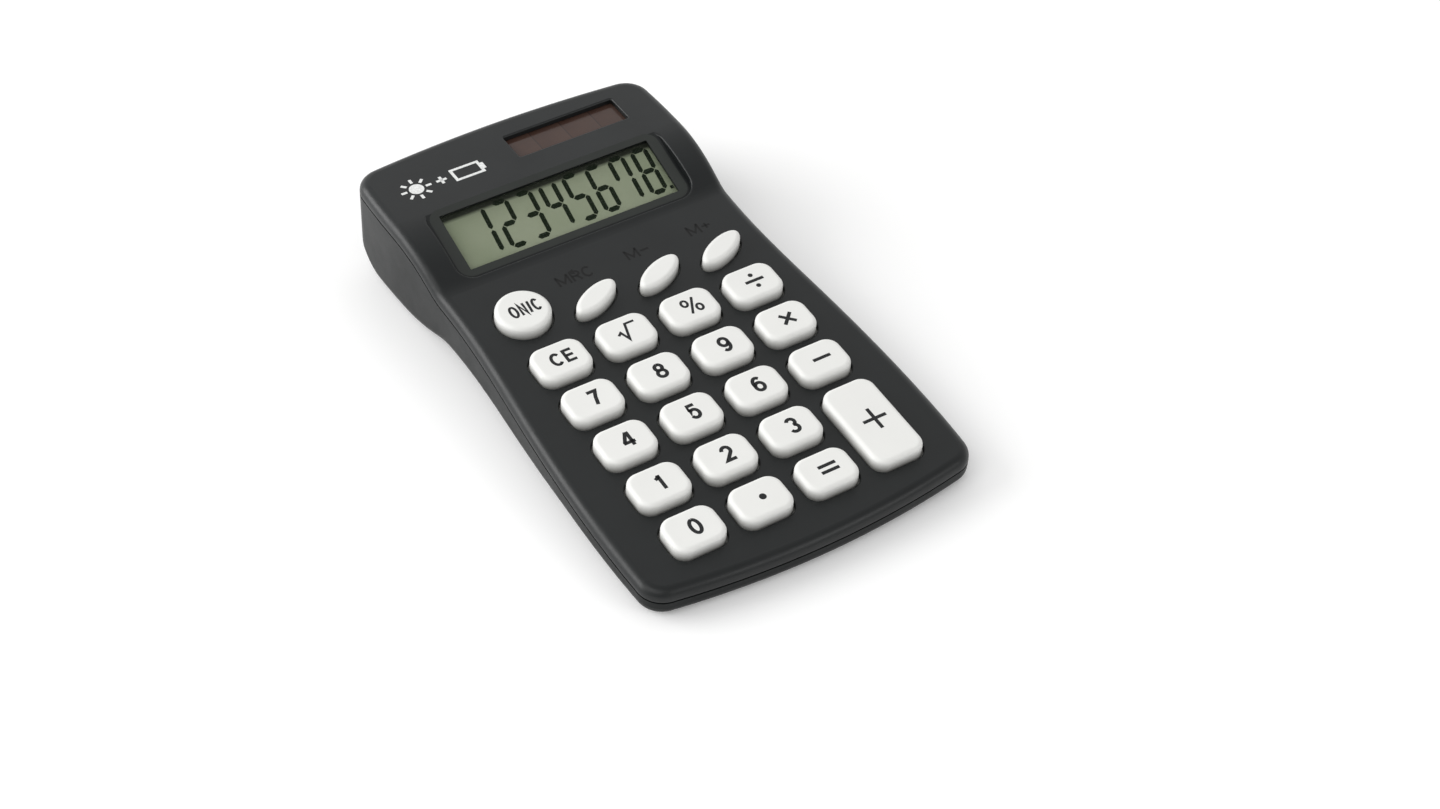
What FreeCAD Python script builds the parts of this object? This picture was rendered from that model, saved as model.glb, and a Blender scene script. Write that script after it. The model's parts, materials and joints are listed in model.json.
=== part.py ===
import FreeCAD, Part
import math
import os

# A small desk calculator: solar and button-cell power, an eight digit display on a raised rear
# hump, and 23 sprung keys.  Lengths are in mm and angles in degrees.
#
# Three sets of axes are used, all with x to the right:
#   deck    the keyboard plane: y towards the display, z out of the keyboard, origin on the case's
#           top surface at the centre of the key grid
#   window  the display's plane, tilted up from the deck
#   table   y and z level with the table, z = 0 on the table, which is the part's own frame

V = FreeCAD.Vector
X_AXIS = V(1, 0, 0)
ORIGIN = V(0, 0, 0)

# ---------------------------------------------------------------- driving dimensions

DECK_TILT = 6.0            # keyboard plane against the table
DECK_HEIGHT = 9.6          # deck origin above the table
FAR = 60.0                 # well outside the case, for cutting shapes
OVERSHOOT = 1.0            # how far a cutting shape passes the face that it cuts
TOUCHING = 0.001           # closer than this is on the surface
TOP_FACING = 0.85          # upward part of a normal: more on the case's top surface,
WALL_FACING = 0.45         # less on the walls of an opening

# Plan outline of the case, on the deck: half widths along the side, and bowed ends.
FRONT_CORNER_Y = -31.6
FRONT_CENTRE_Y = -34.85
BACK_CORNER_Y = 84.65
BACK_CENTRE_Y = 86.5
SIDE_SHAPE = ((FRONT_CORNER_Y, 34.1), (-10.0, 34.65), (15.0, 33.4), (41.0, 31.7),
              (64.2, 32.3), (BACK_CORNER_Y, 31.8))
FRONT_CORNER_RADIUS = 5.0
BACK_CORNER_RADIUS = 5.3

# Side profile of the case, as straight runs and tangent bends (radius, turn), front to back.
PROFILE_START_Y = -45.0
VALLEY_Y = 48.4
HUMP_SLOPE = 21.0
CREST_FALL = 4.0
TOP_STEPS = (("run", VALLEY_Y - PROFILE_START_Y), ("bend", 8.0, HUMP_SLOPE), ("run", 2.6),
             ("bend", 32.0, -HUMP_SLOPE - CREST_FALL), ("run", 30.0))
SLAB_THICKNESS = 5.65      # at the profile's start, in front of the case
SLAB_SLOPE = -1.6
UNDER_SLOPE = -5.1
BELLY_SLOPE = -21.0
UNDER_STEPS = (("run", 41.0), ("bend", 60.0, UNDER_SLOPE - SLAB_SLOPE), ("run", 46.3),
               ("bend", 12.0, BELLY_SLOPE - UNDER_SLOPE), ("run", 4.1),
               ("bend", 42.0, -BELLY_SLOPE - DECK_TILT), ("run", 10.5),
               ("bend", 10.0, 84.0), ("run", 25.0))

# Shells.
WALL = 1.5
PLATE = 1.2                # top plate
FLOOR = 1.1                # bottom plate
PARTING_DROP = 2.2         # top surface to the lower rim of the top case
PARTING_GAP = 0.35         # shadow line between the two cases
LIP_OUTSET = -0.9          # outer face of the bottom case's lip
LIP_CLEARANCE = 0.1
TOP_EDGE_ROUND = 2.0
BOTTOM_EDGE_ROUND = 2.2
HOLE_EDGE_ROUND = 0.25     # rims of the key holes
WINDOW_EDGE_ROUND = 0.4    # rims of the display's and the solar cell's recesses

# Keys.
COLUMN_PITCH = 13.8
ROW_PITCH = 11.5
GRID_X = 0.2               # middle of the grid, right of the centre line
KEY_WIDTH = 10.75
KEY_DEPTH = 8.55
KEY_CORNER = 2.75
KEY_HEIGHT = 2.2           # above the deck
KEY_TAPER = 0.05           # each side, from the deck to the top
KEY_EDGE_ROUND = 0.9
KEY_HOLE_REACH = 15.0      # of the holes, above and below the deck
KEY_GAP = 0.3              # around each key in its hole
FLANGE_REACH = 0.7         # beyond the key, under the plate
FLANGE_TOP = -1.25
FLANGE_THICKNESS = 0.6
KEY_WALL = 1.1
POST_RADIUS = 1.5
POST_BOTTOM = -2.1
ROUND_KEY_Y = 37.25
ROUND_KEY_RADIUS = 5.38
OVAL_KEY_Y = 34.1
OVAL_HALF_LENGTH = 5.5
OVAL_HALF_WIDTH = 2.42
OVAL_TURN = 25.0

# Display, on the window's own axes: x, v up the slope, and n out of it.
WINDOW_TILT = 14.0
WINDOW_Y = 59.3
WINDOW_Z = 1.67
POCKET_WIDTH = 51.8
POCKET_LENGTH = 17.4
POCKET_CORNER = 3.6
OPENING_WIDTH = 45.9
OPENING_LENGTH = 13.1
SLAB_HALF_WIDTH = 27.5
SLAB_HALF_LENGTH = 10.2
SLAB_BOTTOM = -1.2
LENS_TOP = -0.5
LENS_MARGIN = 1.0          # the clear window's reach beyond the opening, each side
FIT_GAP = 0.05             # around glued and clipped flat pieces
GLASS_WIDTH = 50.0
GLASS_LENGTH = 16.4
LEDGE_LENGTH = 1.4         # rear glass beyond the front glass, for the contacts
GLASS_THICKNESS = 0.7
FILM_THICKNESS = 0.2
GLASS_SHIFT = 0.9          # the glasses sit this far up the slope
RIB_DEPTH = 1.7            # locating ribs beside the glass
RIB_HALF_LENGTH = 7.0
RIB_THICKNESS = 1.0
GLASS_BAY_DEPTH = 10.0     # clear space behind the window, for the glass
FILM_MARGIN = 1.0          # glass beyond the films, at its sides and upper edge
FILM_LOW_MARGIN = 0.4      # and at its lower edge
HOLDER_THICKNESS = 1.0
HOLDER_INSET = 0.3         # from the slab's sides
HOLDER_SPAN = (-7.6, 8.4)  # lowest and highest v
HOLDER_WINDOW = (20.0, -4.6, 5.4)   # half width, lowest and highest v
HOLDER_PIN = (0.5, 0.6)    # radius, and centre to the holder's side
HOLDER_PIN_V = (-6.4, 6.0)
RIBBON_WIDTH = 36.0
RIBBON_THICKNESS = 0.12
RIBBON_ON_GLASS = 0.2      # start, up from the ledge's upper end
RIBBON_OFF_GLASS = 0.6     # bend, out past the ledge and past the board
RIBBON_TO_KEYPAD = 0.3     # end, short of the rubber

# Solar cell, on axes level with the top of the hump.
SOLAR_X = 11.3
SOLAR_Y = 77.0
SOLAR_Z = 2.85
SOLAR_OPENING = (24.6, 7.0)
SOLAR_CORNER = 0.4
SOLAR_CELL = (27.0, 9.4)
SOLAR_THICKNESS = 1.1
SOLAR_PAD = (20.0, 7.0, 0.8)
SOLAR_WALL = 1.0           # frame round the cell: thickness, and depth below the cell

# Circuit board and rubber keypad.
BOARD_HALF_WIDTH = 27.2
BOARD_FRONT = -29.5
BOARD_BACK = 45.0
BOARD_TOP = -3.6
BOARD_THICKNESS = 0.8
KEYPAD_HALF_WIDTH = 27.0
KEYPAD_FRONT = -29.3
KEYPAD_BACK = 43.2
KEYPAD_WEB = 0.4
DOME_GAP = 0.05            # below the key's post
DOME_BASE_RADIUS = 3.0
DOME_TOP_RADIUS = 1.8
DOME_WALL = 0.45
BOSS_HOLE_GAP = 0.3        # round each board post in the rubber
RIB_PLACES_Y = (8.0, 28.0, 42.0)    # ribs under the board
BOARD_RIB = (24.0, 0.5)    # half width and half thickness
CHIP = (35.5, 5.0, 1.4)    # y, radius and height of the epoxy cap
COMPONENTS = ((-12.0, 38.0, 2.0, 1.25, 0.9), (-12.0, 34.5, 2.0, 1.25, 0.9),
              (10.5, 38.0, 1.6, 0.8, 0.5), (10.5, 35.5, 1.6, 0.8, 0.5),
              (10.5, 33.0, 1.6, 0.8, 0.5), (17.0, 36.0, 3.2, 1.6, 1.1))

# Screws.
SCREW_RADIUS = 0.85
SCREW_HOLE_RADIUS = 1.0
SCREW_HEAD_RADIUS = 1.6
SCREW_HEAD_HEIGHT = 0.9
SCREW_SINK = 0.2           # head below the case's surface
SCREW_LAND = 3.0           # most plastic under a head
SCREW_TIP_GAP = 0.3        # hole beyond a screw's tip
RECESS_DEPTH = 0.6         # cross recess, as shares of the head's height and radius
RECESS_ARM = 0.65
RECESS_SLOT = 0.14
BOSS_RADIUS = 2.3
BOSS_SPLIT_GAP = 0.05
FRONT_SCREW = (29.8, -28.0)
WAIST_SCREW = (27.5, 47.5)
FRONT_BOSS_SPLIT = -3.4
WAIST_BOSS_SPLIT = -5.0
SCREW_TOP = -1.5
BOARD_BOSS_RADIUS = 1.7
BOARD_SCREW_RADIUS = 0.7
BOARD_SCREW_HEAD = (1.3, 0.5)
BOARD_SCREWS = ((-13.8, -5.75), (13.8, -5.75), (-13.8, 17.25), (13.8, 17.25))

# Battery bay, on the table's axes.
COVER_Y = 70.4
COVER_WIDTH = 25.0
COVER_LENGTH = 15.0
COVER_CORNER = 2.0
COVER_THICKNESS = 1.5
LEDGE_REACH = 2.5          # ledge beyond the cover's edge
LEDGE_TOP = 2.8            # above the outer underside
TONGUE = (1.6, 5.0, 0.7)   # reach, width and thickness of the cover's tongue
TONGUE_ROOT = 1.0          # overlap with the cover
TONGUE_GAP = 0.15
CELL_X = -4.0
CELL_Y = 70.4
CELL_RADIUS = 5.8
CELL_HEIGHT = 3.1
CELL_BOTTOM = 3.0
CELL_CAP = (1.2, 0.25, 1.0)         # inset, height over the can, and overlap with it
CELL_EDGE_ROUND = 0.4
PAD_INSET = 1.5            # cover's pad, inside the cell's edge
BAY_WALL = 1.0
BAY_HEIGHT = 7.4
CELL_CLEARANCE = 0.4        # round the cell in its bay
CONTACT_THICKNESS = 0.3
CONTACT_WIDTH = 4.0
CONTACT_TAB = 2.6
COVER_SCREW_X = 8.2
COVER_SCREW_SINK = 0.1     # head below the cover's surface
COVER_SCREW_SHORT = 2.0    # tip below the post's top
COVER_HOLE_END = 1.0       # blind end of the post's hole, below its top

# Wires.
WIRE_RADIUS = 0.4
WIRE_BEND = 2.0
WIRE_RUN_Z = -8.0          # level run behind the board
WIRE_BOARD_Y = 43.9        # where each wire turns up to the board
WIRE_LEAD_IN = 7.0         # level run before it
SOLAR_WIRES_X = (-0.5, 23.0)
SOLAR_WIRE_TURN_Z = -6.5
BATTERY_WIRE_RISE = 2.6
TAB_SOLDER = 2.0           # solder point, out from the cell's edge
SOLDER_GAP = 0.06          # between a wire's cut end and what it is soldered to

# Feet, on the table's axes: x, y and how far each pair stands into the case.
FOOT_RADIUS = 3.0
FOOT_GAP = 0.15
FRONT_FOOT = (22.5, -27.0, 1.05)
REAR_FOOT = (22.5, 72.5, 0.9)

KEY_GRID = (("key_ce", "key_root", "key_percent", "key_divide"),
            ("key_7", "key_8", "key_9", "key_multiply"),
            ("key_4", "key_5", "key_6", "key_minus"),
            ("key_1", "key_2", "key_3", None),
            ("key_0", "key_point", "key_equals", None))
OVAL_KEYS = ("key_memory_recall", "key_memory_minus", "key_memory_plus")


# ---------------------------------------------------------------- placing and outlines

def placed(shape, x=0.0, y=0.0, z=0.0, tilt=0.0):
    """The shape turned about X by tilt and then moved, with the move baked in."""
    move = FreeCAD.Placement(V(x, y, z), FreeCAD.Rotation(X_AXIS, tilt))
    return shape.transformed(move.toMatrix(), copy=True)


def deck_to_table(shape):
    return placed(shape, 0, 0, DECK_HEIGHT, DECK_TILT)


def table_to_deck(shape):
    return placed(placed(shape, 0, 0, -DECK_HEIGHT), tilt=-DECK_TILT)


def on_window(shape):
    return placed(shape, 0, WINDOW_Y, WINDOW_Z, WINDOW_TILT)


def on_solar(shape):
    return placed(shape, SOLAR_X, SOLAR_Y, SOLAR_Z, -CREST_FALL)


def fuse(shapes):
    """One solid from several that touch or overlap."""
    return shapes[0].multiFuse(shapes[1:]).removeSplitter()


def box(x0, x1, y0, y1, z0, z1):
    return Part.makeBox(x1 - x0, y1 - y0, z1 - z0, V(x0, y0, z0))


def cylinder(radius, z0, z1, x=0.0, y=0.0):
    return Part.makeCylinder(radius, z1 - z0, V(x, y, z0))


def rounded_wire(width, length, radius, z=0.0):
    """A rectangle with arcs at its corners, centred on the z axis."""
    half_width = width / 2
    half_length = length / 2
    mid = radius * (1 - math.sqrt(0.5))
    edges = []
    corners = ((1, -1), (1, 1), (-1, 1), (-1, -1))
    ends = []
    for sx, sy in corners:
        along_x = V(sx * (half_width - radius), sy * half_length, z)
        along_y = V(sx * half_width, sy * (half_length - radius), z)
        middle = V(sx * (half_width - mid), sy * (half_length - mid), z)
        start, end = (along_x, along_y) if sx * sy < 0 else (along_y, along_x)
        edges.append(Part.Arc(start, middle, end).toShape())
        ends.append((start, end))
    lines = []
    for i in range(len(ends)):
        lines.append(Part.makeLine(ends[i][1], ends[(i + 1) % len(ends)][0]))
    chain = [edge for pair in zip(edges, lines) for edge in pair]
    return Part.Wire(chain)


def rounded_block(width, length, radius, z0, z1):
    return Part.Face(rounded_wire(width, length, radius, z0)).extrude(V(0, 0, z1 - z0))


# ---------------------------------------------------------------- case envelope

def case_block(outset):
    """The plan outline, moved outwards by outset, as a tall block."""
    points = [V(width + outset, y, -FAR) for y, width in SIDE_SHAPE]
    points[0].y -= outset
    points[-1].y += outset
    mirrored = [V(-p.x, p.y, p.z) for p in reversed(points)]
    right = Part.BSplineCurve()
    right.interpolate(points)
    left = Part.BSplineCurve()
    left.interpolate(mirrored)
    front_middle = V(0, FRONT_CENTRE_Y - outset, -FAR)
    back_middle = V(0, BACK_CENTRE_Y + outset, -FAR)
    front = Part.Arc(mirrored[-1], front_middle, points[0])
    back = Part.Arc(points[-1], back_middle, mirrored[0])
    wire = Part.Wire([front.toShape(), right.toShape(), back.toShape(), left.toShape()])
    block = Part.Face(wire).extrude(V(0, 0, 2 * FAR))
    for end, radius in ((-1, FRONT_CORNER_RADIUS), (1, BACK_CORNER_RADIUS)):
        block = block.makeFillet(radius + outset, upright_edges(block, end))
    return block


def upright_edges(block, end):
    """The two straight upright edges at the front (-1) or back (1) corners."""
    found = []
    for edge in block.Edges:
        top, bottom = edge.Vertexes[0].Point, edge.Vertexes[-1].Point
        upright = math.hypot(top.x - bottom.x, top.y - bottom.y) < 1e-6
        if upright and top.y * end > 0:
            found.append(edge)
    corner = max(edge.Vertexes[0].Point.y * end for edge in found)
    return [e for e in found if e.Vertexes[0].Point.y * end > corner - 1e-3]


def profile_edges(start_z, heading, steps, offset):
    """A chain of runs and tangent bends in the YZ plane, moved by offset to its upper side."""
    angle = math.radians(heading)
    up = V(0, -math.sin(angle), math.cos(angle))
    point = V(0, PROFILE_START_Y, start_z) + up * offset
    edges = []
    for step in steps:
        ahead = V(0, math.cos(angle), math.sin(angle))
        if step[0] == "run":
            end = point + ahead * step[1]
            edges.append(Part.makeLine(point, end))
        else:
            turn = math.radians(step[2])
            side = math.copysign(1, turn)
            radius = step[1] - side * offset
            up = V(0, -math.sin(angle), math.cos(angle))
            centre = point + up * (side * radius)
            middle_up = V(0, -math.sin(angle + turn / 2), math.cos(angle + turn / 2))
            end_up = V(0, -math.sin(angle + turn), math.cos(angle + turn))
            end = centre - end_up * (side * radius)
            edges.append(Part.Arc(point, centre - middle_up * (side * radius), end).toShape())
            angle += turn
        point = end
    return edges


def half_space(edges, far_z):
    """Everything between a profile and a level far above or below it."""
    start = edges[0].Vertexes[0].Point
    end = edges[-1].Vertexes[-1].Point
    corners = [end, V(0, end.y, far_z), V(0, start.y, far_z), start]
    closing = [Part.makeLine(a, b) for a, b in zip(corners, corners[1:])]
    face = Part.Face(Part.Wire(edges + closing))
    face.translate(V(-FAR, 0, 0))
    return face.extrude(V(2 * FAR, 0, 0))


def below_top(drop):
    """The space under the case's top surface, lowered by drop."""
    return half_space(profile_edges(0.0, 0.0, TOP_STEPS, -drop), -FAR)


def above_underside(lift):
    """The space over the case's underside, raised by lift."""
    return half_space(profile_edges(-SLAB_THICKNESS, SLAB_SLOPE, UNDER_STEPS, lift), FAR)


def rim_edges(solid, up):
    """The outer edges of the faces that look up (1) or down (-1)."""
    shared = {}
    for face in solid.Faces:
        u0, u1, v0, v1 = face.ParameterRange
        normal = face.normalAt((u0 + u1) / 2, (v0 + v1) / 2)
        if normal.z * up > 0.5:
            for edge in face.Edges:
                shared.setdefault(edge.hashCode(), []).append(edge)
    return [edges[0] for edges in shared.values() if len(edges) == 1]


def opening_rims(shell, low_y, high_y):
    """The sharp edges where openings between low_y and high_y break the case's top surface."""
    top = below_top(0.0).Shells[0]
    neighbours = {}
    for face in shell.Faces:
        for edge in face.Edges:
            neighbours.setdefault(edge.hashCode(), (edge, []))[1].append(face)
    rims = []
    for edge, faces in neighbours.values():
        middle = edge.valueAt((edge.FirstParameter + edge.LastParameter) / 2)
        upward = [face.normalAt(*face.Surface.parameter(middle)).z for face in faces]
        sharp = min(upward) < WALL_FACING and max(upward) > TOP_FACING
        if sharp and low_y < middle.y < high_y:
            if top.distToShape(Part.Vertex(middle))[0] < TOUCHING:
                rims.append(edge)
    return rims


# ---------------------------------------------------------------- keys

def grid_place(row, column):
    return GRID_X + (column - 1.5) * COLUMN_PITCH, (2 - row) * ROW_PITCH


def key_places():
    """Each key's name, kind and centre on the deck."""
    places = []
    for row, names in enumerate(KEY_GRID):
        for column, name in enumerate(names):
            if name:
                places.append((name, "square", *grid_place(row, column)))
    x, low = grid_place(4, 3)
    high = grid_place(3, 3)[1]
    places.append(("key_plus", "tall", x, (low + high) / 2))
    places.append(("key_on_clear", "round", grid_place(0, 0)[0], ROUND_KEY_Y))
    for column, name in enumerate(OVAL_KEYS, start=1):
        places.append((name, "oval", grid_place(0, column)[0], OVAL_KEY_Y))
    return places


def key_wire(kind, grow, z):
    """The outline of one kind of key, grown by grow on every side."""
    if kind == "round":
        return Part.Wire(Part.Circle(V(0, 0, z), V(0, 0, 1), ROUND_KEY_RADIUS + grow).toShape())
    if kind == "oval":
        oval = Part.Ellipse(V(0, 0, z), OVAL_HALF_LENGTH + grow, OVAL_HALF_WIDTH + grow)
        wire = Part.Wire(oval.toShape())
        wire.rotate(ORIGIN, V(0, 0, 1), OVAL_TURN)
        return wire
    length = KEY_DEPTH + (ROW_PITCH if kind == "tall" else 0.0)
    return rounded_wire(KEY_WIDTH + 2 * grow, length + 2 * grow, KEY_CORNER + grow / 2, z)


def key_prism(kind, grow, z0, z1):
    return Part.Face(key_wire(kind, grow, z0)).extrude(V(0, 0, z1 - z0))


def key(kind):
    """A hollow cap with a retaining flange and a post that meets the rubber dome."""
    crown = Part.makeLoft([key_wire(kind, 0.0, 0.0), key_wire(kind, -KEY_TAPER, KEY_HEIGHT)],
                          True, True)
    top_rim = [e for e in crown.Edges if min(v.Z for v in e.Vertexes) > KEY_HEIGHT - 0.01]
    crown = crown.makeFillet(KEY_EDGE_ROUND, top_rim)
    flange_bottom = FLANGE_TOP - FLANGE_THICKNESS
    skirt = key_prism(kind, 0.0, flange_bottom, 0.0)
    flange = key_prism(kind, FLANGE_REACH, flange_bottom, FLANGE_TOP)
    body = fuse([crown, skirt, flange])
    hollow = key_prism(kind, -KEY_WALL, flange_bottom, KEY_HEIGHT - KEY_WALL)
    post = cylinder(min(POST_RADIUS, OVAL_HALF_WIDTH - KEY_WALL), POST_BOTTOM, KEY_HEIGHT - KEY_WALL)
    return fuse([body.cut(hollow), post])


# ---------------------------------------------------------------- top case

def screw_places(place):
    return [(side * place[0], place[1]) for side in (-1, 1)]


def window_slab(body):
    """A flat plate behind the display, parallel to it, where the hump's skin is too thin."""
    slab = box(-SLAB_HALF_WIDTH, SLAB_HALF_WIDTH, -SLAB_HALF_LENGTH, SLAB_HALF_LENGTH,
               SLAB_BOTTOM, FAR)
    return on_window(slab).common(body)


def glass_span():
    """Lowest and highest v of the display glass."""
    high = GLASS_SHIFT + GLASS_LENGTH / 2
    return high - GLASS_LENGTH - LEDGE_LENGTH, high


def window_cuts():
    """The display's sunk frame, the opening, and the rebate for the clear window behind it."""
    pocket = rounded_block(POCKET_WIDTH, POCKET_LENGTH, POCKET_CORNER, 0.0, FAR)
    opening = box(-OPENING_WIDTH / 2, OPENING_WIDTH / 2, -OPENING_LENGTH / 2, OPENING_LENGTH / 2,
                  SLAB_BOTTOM - OVERSHOOT, FAR)
    half_width = OPENING_WIDTH / 2 + LENS_MARGIN
    half_length = OPENING_LENGTH / 2 + LENS_MARGIN
    rebate = box(-half_width, half_width, -half_length, half_length, SLAB_BOTTOM - OVERSHOOT,
                 LENS_TOP)
    low, high = glass_span()
    half_glass = GLASS_WIDTH / 2 + FIT_GAP
    bay = box(-half_glass, half_glass, low - FIT_GAP, high + FIT_GAP,
              SLAB_BOTTOM - GLASS_BAY_DEPTH, SLAB_BOTTOM)
    return [on_window(shape) for shape in (pocket, opening, rebate, bay)]


def glass_ribs():
    """Two walls that locate the display glass from side to side."""
    inner = GLASS_WIDTH / 2 + FIT_GAP
    ribs = []
    for side in (-1, 1):
        x0, x1 = sorted((side * inner, side * (inner + RIB_THICKNESS)))
        rib = box(x0, x1, -RIB_HALF_LENGTH, RIB_HALF_LENGTH, SLAB_BOTTOM - RIB_DEPTH,
                  SLAB_BOTTOM + PLATE / 2)
        ribs.append(on_window(rib))
    return ribs


def solar_frame():
    """A wall round the solar cell, under the plate."""
    width, length = SOLAR_CELL
    depth = PLATE + SOLAR_THICKNESS + SOLAR_WALL
    outer = rounded_block(width + 2 * SOLAR_WALL, length + 2 * SOLAR_WALL, SOLAR_WALL, -depth,
                          -PLATE / 2)
    inner = box(-width / 2 - FIT_GAP, width / 2 + FIT_GAP, -length / 2 - FIT_GAP,
                length / 2 + FIT_GAP, -depth, -PLATE / 2)
    return on_solar(outer.cut(inner))


def top_bosses():
    """Posts under the plate for the case screws and the board screws."""
    bosses = []
    for place, split in ((FRONT_SCREW, FRONT_BOSS_SPLIT), (WAIST_SCREW, WAIST_BOSS_SPLIT)):
        for x, y in screw_places(place):
            bosses.append(cylinder(BOSS_RADIUS, split + BOSS_SPLIT_GAP, -PLATE / 2, x, y))
    for x, y in BOARD_SCREWS:
        bosses.append(cylinder(BOARD_BOSS_RADIUS, BOARD_TOP, -PLATE / 2, x, y))
    return bosses


def top_case():
    """The upper shell: keyboard deck, display hump and skirt."""
    envelope = case_block(0.0).common(below_top(0.0))
    skin = envelope.cut(below_top(PARTING_DROP))
    skin = skin.makeFillet(TOP_EDGE_ROUND, rim_edges(skin, 1))
    cavity = case_block(-WALL).common(below_top(PLATE))
    rebate = case_block(LIP_OUTSET + LIP_CLEARANCE).common(below_top(PLATE - LIP_CLEARANCE))
    shell = skin.cut(cavity).cut(rebate)
    core = case_block(-WALL).common(below_top(PLATE / 2))
    inside = [window_slab(core), solar_frame()] + glass_ribs() + top_bosses()
    shell = fuse([shell] + inside)
    cuts = window_cuts()
    cuts.append(on_solar(rounded_block(*SOLAR_OPENING, SOLAR_CORNER, -PLATE - OVERSHOOT, FAR)))
    for _, kind, x, y in key_places():
        hole = key_prism(kind, KEY_GAP, -KEY_HOLE_REACH, KEY_HOLE_REACH)
        cuts.append(placed(hole, x, y))
    for place in (FRONT_SCREW, WAIST_SCREW):
        for x, y in screw_places(place):
            cuts.append(cylinder(SCREW_RADIUS, -FAR, SCREW_TOP + SCREW_TIP_GAP, x, y))
    for x, y in BOARD_SCREWS:
        cuts.append(cylinder(BOARD_SCREW_RADIUS, -FAR, -PLATE, x, y))
    shell = shell.cut(cuts)
    shell = shell.makeFillet(HOLE_EDGE_ROUND, opening_rims(shell, -FAR, VALLEY_Y))
    return shell.makeFillet(WINDOW_EDGE_ROUND, opening_rims(shell, VALLEY_Y, FAR * 2))


# ---------------------------------------------------------------- bottom case

def bottom_envelope():
    """The outside of the bottom case, with its lower edges rounded."""
    body = case_block(0.0).common(below_top(PARTING_DROP + PARTING_GAP)).common(above_underside(0.0))
    return body.makeFillet(BOTTOM_EDGE_ROUND, rim_edges(body, -1))


def bottom_lip():
    """The thin upstand that stands inside the top case's skirt."""
    outer = case_block(LIP_OUTSET).common(below_top(PLATE + LIP_CLEARANCE))
    return outer.cut(below_top(PARTING_DROP + PARTING_GAP + FLOOR))


def underside_at(x, y):
    """Height of the outer underside, on the deck's axes, at one place."""
    probe = Part.makeLine(V(x, y, -FAR), V(x, y, 0)).common(above_underside(0.0))
    return probe.BoundBox.ZMin


def bottom_bosses():
    bosses = []
    for place, split in ((FRONT_SCREW, FRONT_BOSS_SPLIT), (WAIST_SCREW, WAIST_BOSS_SPLIT)):
        for x, y in screw_places(place):
            bosses.append(cylinder(BOSS_RADIUS, underside_at(x, y) + FLOOR / 2, split, x, y))
    return bosses


def board_ribs():
    """Cross ribs on the floor that carry the circuit board."""
    board_bottom = BOARD_TOP - BOARD_THICKNESS
    half_width, half_thickness = BOARD_RIB
    ribs = []
    for y in RIB_PLACES_Y:
        floor = underside_at(0, y) + FLOOR / 2
        ribs.append(box(-half_width, half_width, y - half_thickness, y + half_thickness, floor,
                        board_bottom - FIT_GAP))
    return ribs


def battery_bay():
    """Walls round the button cell and a post for the cover's screw, on the table's axes."""
    reach = CELL_RADIUS + CELL_CLEARANCE
    wall = reach + BAY_WALL
    outer = box(CELL_X - wall, CELL_X + wall, CELL_Y - wall, CELL_Y + wall, FLOOR, BAY_HEIGHT)
    inner = box(CELL_X - reach, CELL_X + reach, CELL_Y - reach, CELL_Y + reach, 0, BAY_HEIGHT)
    post = cylinder(BOSS_RADIUS, LEDGE_TOP, BAY_HEIGHT, COVER_SCREW_X, COVER_Y)
    return [outer.cut(inner), post]


def cover_ledge():
    """The thick patch of floor that the battery cover is let into."""
    patch = table_to_deck(cover_prism(LEDGE_REACH)).common(above_underside(FLOOR / 2))
    return patch.cut(above_underside(LEDGE_TOP))


def tongue(grow):
    """The battery cover's hook, which slides over the ledge's edge."""
    reach, width, thickness = TONGUE
    edge = -COVER_WIDTH / 2
    hook = box(edge - reach - grow, edge + TONGUE_ROOT, COVER_Y - width / 2 - grow,
               COVER_Y + width / 2 + grow, 0.0, BAY_HEIGHT)
    strip = table_to_deck(hook).common(above_underside(COVER_THICKNESS - grow))
    return strip.cut(above_underside(COVER_THICKNESS + thickness + grow))


def cover_prism(grow):
    """The battery cover's outline as an upright block, on the table's axes."""
    block = rounded_block(COVER_WIDTH + 2 * grow, COVER_LENGTH + 2 * grow, COVER_CORNER,
                          -OVERSHOOT, BAY_HEIGHT)
    return placed(block, 0, COVER_Y)


def feet():
    """Four round rubber pads, on the table's axes."""
    pads = []
    for x, y, height in (FRONT_FOOT, REAR_FOOT):
        for side in (-1, 1):
            pads.append(cylinder(FOOT_RADIUS, 0.0, height, side * x, y))
    return pads


def foot_recesses():
    recesses = []
    for x, y, height in (FRONT_FOOT, REAR_FOOT):
        for side in (-1, 1):
            recesses.append(cylinder(FOOT_RADIUS + FOOT_GAP, -OVERSHOOT, height, side * x, y))
    return recesses


def screw_channels():
    """Clearance holes and head pockets for the four case screws."""
    channels = []
    for place in (FRONT_SCREW, WAIST_SCREW):
        for x, y in screw_places(place):
            seat = screw_seat(x, y)
            channels.append(cylinder(SCREW_HOLE_RADIUS, -FAR, 0.0, x, y))
            channels.append(cylinder(SCREW_HEAD_RADIUS + FIT_GAP, -FAR, seat, x, y))
    return channels


def screw_seat(x, y):
    """Height of the face that a case screw's head bears on."""
    split = FRONT_BOSS_SPLIT if y < 0 else WAIST_BOSS_SPLIT
    return max(underside_at(x, y) + SCREW_HEAD_HEIGHT + SCREW_SINK, split - SCREW_LAND)


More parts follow.
